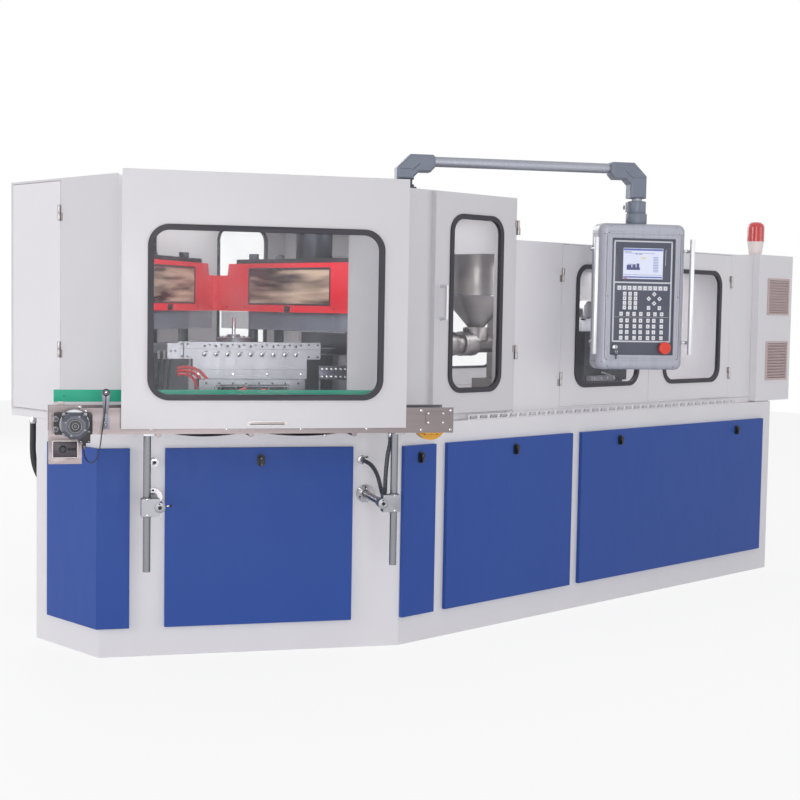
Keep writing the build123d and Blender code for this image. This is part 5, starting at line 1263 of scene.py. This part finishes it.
def build_drive_details():
    """What shows of the screw drive through the left service window."""
    drive = Piece("drive_details", "machine", side, "black_plastic", black_plastic, cast_metal,
        chrome, dark_steel, film_pale)
    drive.box(1100, 1222, 1180, 1374, -750, -610, 6, 2)
    drive.box(1100, 1500, 1092, 1180, -750, -610, 6, 2)
    drive.box(1100, 1500, 980.2, 1092, -740, -640, 4, 1.5, look=3)
    drive.box(1120, 1340, 1092, 1122, -610, -570, 6, 3, look=1)
    drive.box(1120, 1200, 1374, 1436, -700, -650, 4, 1.5, look=4)
    drive.disc(1158, 1495, -680, -640, 54, 40, 5, look=2)
    drive.disc(1158, 1495, -641, -636, 42, 36, 2, look=1)
    drive.ring(1158, 1495, -638, 48, 5, 40, look=2)
    drive.box(1150, 1166, 1436, 1450, -680, -660, look=3)
    for across in (1140, 1200, 1260, 1320):
        drive.bolt(across, 1107, -570, 7, 6, look=2)
    drive.bar((1240, 1140, -604), (1360, 1112, -600), 8, 16, 2, look=2)
    drive.finish()

def build_rail_shades():
    """Shaded folds along the slots of the foot rail."""
    folds = Piece("rail_folds", "machine", side, "grey_paint", seam_shadow_paint, white_paint)
    low, front = base_height, -5
    for index in range(32):
        left = -515 + (index + 0.5) * 70 - 27
        folds.box(left, left + 54, low + 20.6, low + 21.6, front - 0.2, front + 0.5, look=1)
        folds.add(turned(box_part(-1.3, 1.3, -9.5, 9.5, front - 1.6, front - 0.6), "Z", -38,
            (left + 8, low + 13, 0)))
    folds.finish()

def build_elbow_details():
    """Parting lines and cover screws of the cast elbows; they turn with the arm."""
    trim = Piece("elbow_trim", "arm", panel, "elbow_paint", seam_shadow_paint, elbow_paint, dark_steel)
    front = 40
    axis = arm_height
    for across, sign in ((-panel_place, 1), (-12, -1)):
        def spot(along, up):
            return (across + sign * along, axis + up, front)
        trim.bar(spot(34, -48), spot(72, -14), 1.3, 8)
        trim.bar(spot(-24, -40), spot(34, -40), 0.9, 8)
        places = [spot(*place)[:2] for place in ((60, 14), (118, 14), (118, -34))]
        trim.screws(places, front - 0.4, 0.9, (4.2, 20, 0.3), (0.8, 1.1, 2), (1, 2))
    trim.finish()

def build_grille_details():
    """Fine slats between the wide ones, the shaded back and the frame's screws."""
    fine = Piece("grille_slats", "machine", side, "bright_steel", slat_paint, slat_shade, chrome)
    for low, high in ((1104, 1331), (1483, 1697)):
        pitch = (high - low - 24) / 12
        fine.box(2024, 2229, low + 13, high - 13, -9.5, -8, look=1)
        for index in range(11):
            middle = low + 12 + (index + 1) * pitch
            fine.add(turned(box_part(2022.5, 2230.5, -1.5, 1.5, -0.6, 0.6), "X", 35,
                (0, middle, -2.5)))
        for across in (2016, 2237):
            for up in (low + 6, high - 6):
                fine.disc(across, up, 5.8, 7.2, 3, 12, 0.5, look=2)
    fine.finish()

build_drive_details()
build_rail_shades()
build_elbow_details()
build_grille_details()

# Beacon and its base
def build_beacon_details():
    wall = Wall(2026, -800, -90)
    lens = Piece("beacon_ribs", "machine", wall, "beacon_red", lens_red, cream_plastic, chrome)
    for index in range(7):
        lens.hoop(0, 1928 + 9 * index, 0, 49.2, 0.9, 40, 6)
    for up, radius, tube in ((1908.5, 48.6, 1.8), (1846, 38, 1.4)):
        lens.hoop(0, up, 0, radius, tube, 40, 8, look=1)
    lens.finish()

build_beacon_details()


# Cords, along the routes of the CAD
def cord_curve(name, wall, route, diameter, material):
    data = bpy.data.curves.new(name, "CURVE")
    data.dimensions = "3D"
    spline = data.splines.new("NURBS")
    spline.points.add(len(route) - 1)
    for point, place in zip(spline.points, route):
        point.co = (*wall.at(*place), 1)
    spline.order_u = 3
    spline.use_endpoint_u = True
    spline.resolution_u = 12
    data.bevel_depth = diameter / 2
    data.bevel_resolution = 5
    data.use_fill_caps = True
    piece = bpy.data.objects.new(name, data)
    scene.collection.objects.link(piece)
    piece.data.materials.append(material)
    return piece


conduit_route = [(474, 828, 26), (474, 828, 58), (492, 818, 96), (507, 790, 130), (515, 757, 152),
    (520, 724, 166), (521, 701, 193), (519, 695, 227), (515, 707, 258), (511, 734, 279),
    (509.5, 770, 287), (511, 808, 289), (514, 848, 288), (519.5, 888, 285), (530, 924, 280),
    (530, 954, 280)]
sensor_route = [(-645, 1134.9, 405), (-645, 1105, 405), (-650, 1066, 418), (-656, 1025, 426),
    (-662, 982, 430), (-667, 940, 428), (-673, 905, 421), (-684, 880, 412), (-700, 868, 401),
    (-716, 876, 387), (-727, 897, 372), (-727, 921.8, 372)]
hose_route = [(462, 938, 125), (462, 878, 125), (461, 820, 127), (457, 762, 124), (451, 710, 110),
    (442, 668, 84), (435, 650, 48), (435, 650, 0.3)]


def add_cord(name, node, wall, route, diameter, material):
    piece = cord_curve(name, wall, route, diameter, material)
    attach(piece, "machine")
    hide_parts(node)
    tuple(wall.at(*route[0]))


add_cord("conduit_cord", "conveyor_conduit", chamfer, conduit_route, 0.018,
    conduit_rubber)
add_cord("hose_cord", "hydraulic_hose", rear_chamfer, hose_route, 0.028,
    cord_rubber)
add_cord("eye_cord", "sensor_cable", chamfer, sensor_route, 0.0044, cord_rubber)


# Stage
floor_drop = 0.0006


def watched_by_camera(tree):
    """1 for rays from the camera, straight, mirrored or through a pane."""
    rays = tree.nodes.new("ShaderNodeLightPath").outputs
    watched = maths(tree, "MAXIMUM", rays["Is Camera Ray"], rays["Is Glossy Ray"])
    return maths(tree, "MAXIMUM", watched, rays["Is Transmission Ray"])


def mix_surface(tree, output, share, first, second):
    mix = tree.nodes.new("ShaderNodeMixShader")
    for socket, value in zip(mix.inputs, (share, first.outputs[0], second.outputs[0])):
        tree.links.new(value, socket)
    tree.links.new(mix.outputs[0], tree.nodes[output].inputs["Surface"])


def add_world():
    world = bpy.data.worlds.new("studio")
    scene.world = world
    world.use_nodes = True
    tree = world.node_tree
    light = feed_all(tree, tree.nodes["Background"], Color=(0.97, 0.97, 1.0, 1), Strength=0.4)
    seen = add_node(tree, "Background", Color=(1, 1, 1, 1), Strength=1.0)
    mix_surface(tree, "World Output", watched_by_camera(tree), light, seen)


def add_floor():
    shape = bmesh.new()
    bmesh.ops.create_grid(shape, x_segments=1, y_segments=1, size=14)
    mesh = bpy.data.meshes.new("floor")
    shape.to_mesh(mesh)
    shape.free()
    floor = bpy.data.objects.new("floor", mesh)
    floor.location = (0, 0, -floor_drop)
    scene.collection.objects.link(floor)
    material, tree, shader = new_material("pale floor")
    mesh.materials.append(material)
    feed_all(tree, shader, Base_Color=(0.82, 0.82, 0.83, 1), Roughness=0.7)
    glow = add_node(tree, "Emission", Color=(1, 1, 1, 1), Strength=1.0)
    share = maths(tree, "MULTIPLY", watched_by_camera(tree), 0.86)
    mix_surface(tree, "Material Output", share, shader, glow)


def add_lamps():
    """Soft lamps: name, place, watts, size and the point each looks at."""
    lamps = (("key", (-6.5, -7.5, 3.6), 108, 4.5, (0, 0, 0.8)), ("low", (-5.2, -6.6, 0.6), 124,
        3.0, (-1.0, -0.6, 0.2)), ("fill", (3.5, -8.0, 2.2), 66, 4.0, (0.5, 0, 0.7)),
        ("top", (-0.5, -1.5, 6.5), 74, 5.0, (0, 0, 1.0)), ("nose", (-9.0, 1.5, 2.2), 182, 3.5,
        (-1.5, 0, 0.9)), ("back", (2.5, 7.5, 4.5), 160, 4.5, (0, 0, 1.0)),
        ("turret room", (-1.3, -0.3, 1.96), 5.5, 0.6, (-1.3, -0.3, 1.0)),
        ("rear room", (-0.9, 0.55, 1.96), 2, 0.5, (-0.9, 0.55, 1.0)),
        ("hopper room", (-0.45, -0.5, 1.96), 1.6, 0.4, (-0.45, -0.5, 1.0)),
        ("screw room", (0.9, -0.3, 1.74), 5.5, 0.9, (0.9, -0.3, 1.0)),
        ("drive room", (1.55, 0.0, 1.74), 3, 0.7, (1.55, 0.0, 1.0)))
    for label, place, watts, size, aim in lamps:
        data = bpy.data.lights.new(label, "AREA")
        data.energy = watts
        data.size = size
        lamp = bpy.data.objects.new(label, data)
        lamp.location = place
        lamp.rotation_euler = (Vector(aim) - Vector(place)).to_track_quat("-Z", "Y").to_euler()
        lamp.visible_glossy = label != "top"
        scene.collection.objects.link(lamp)


add_world()
add_floor()
add_lamps()
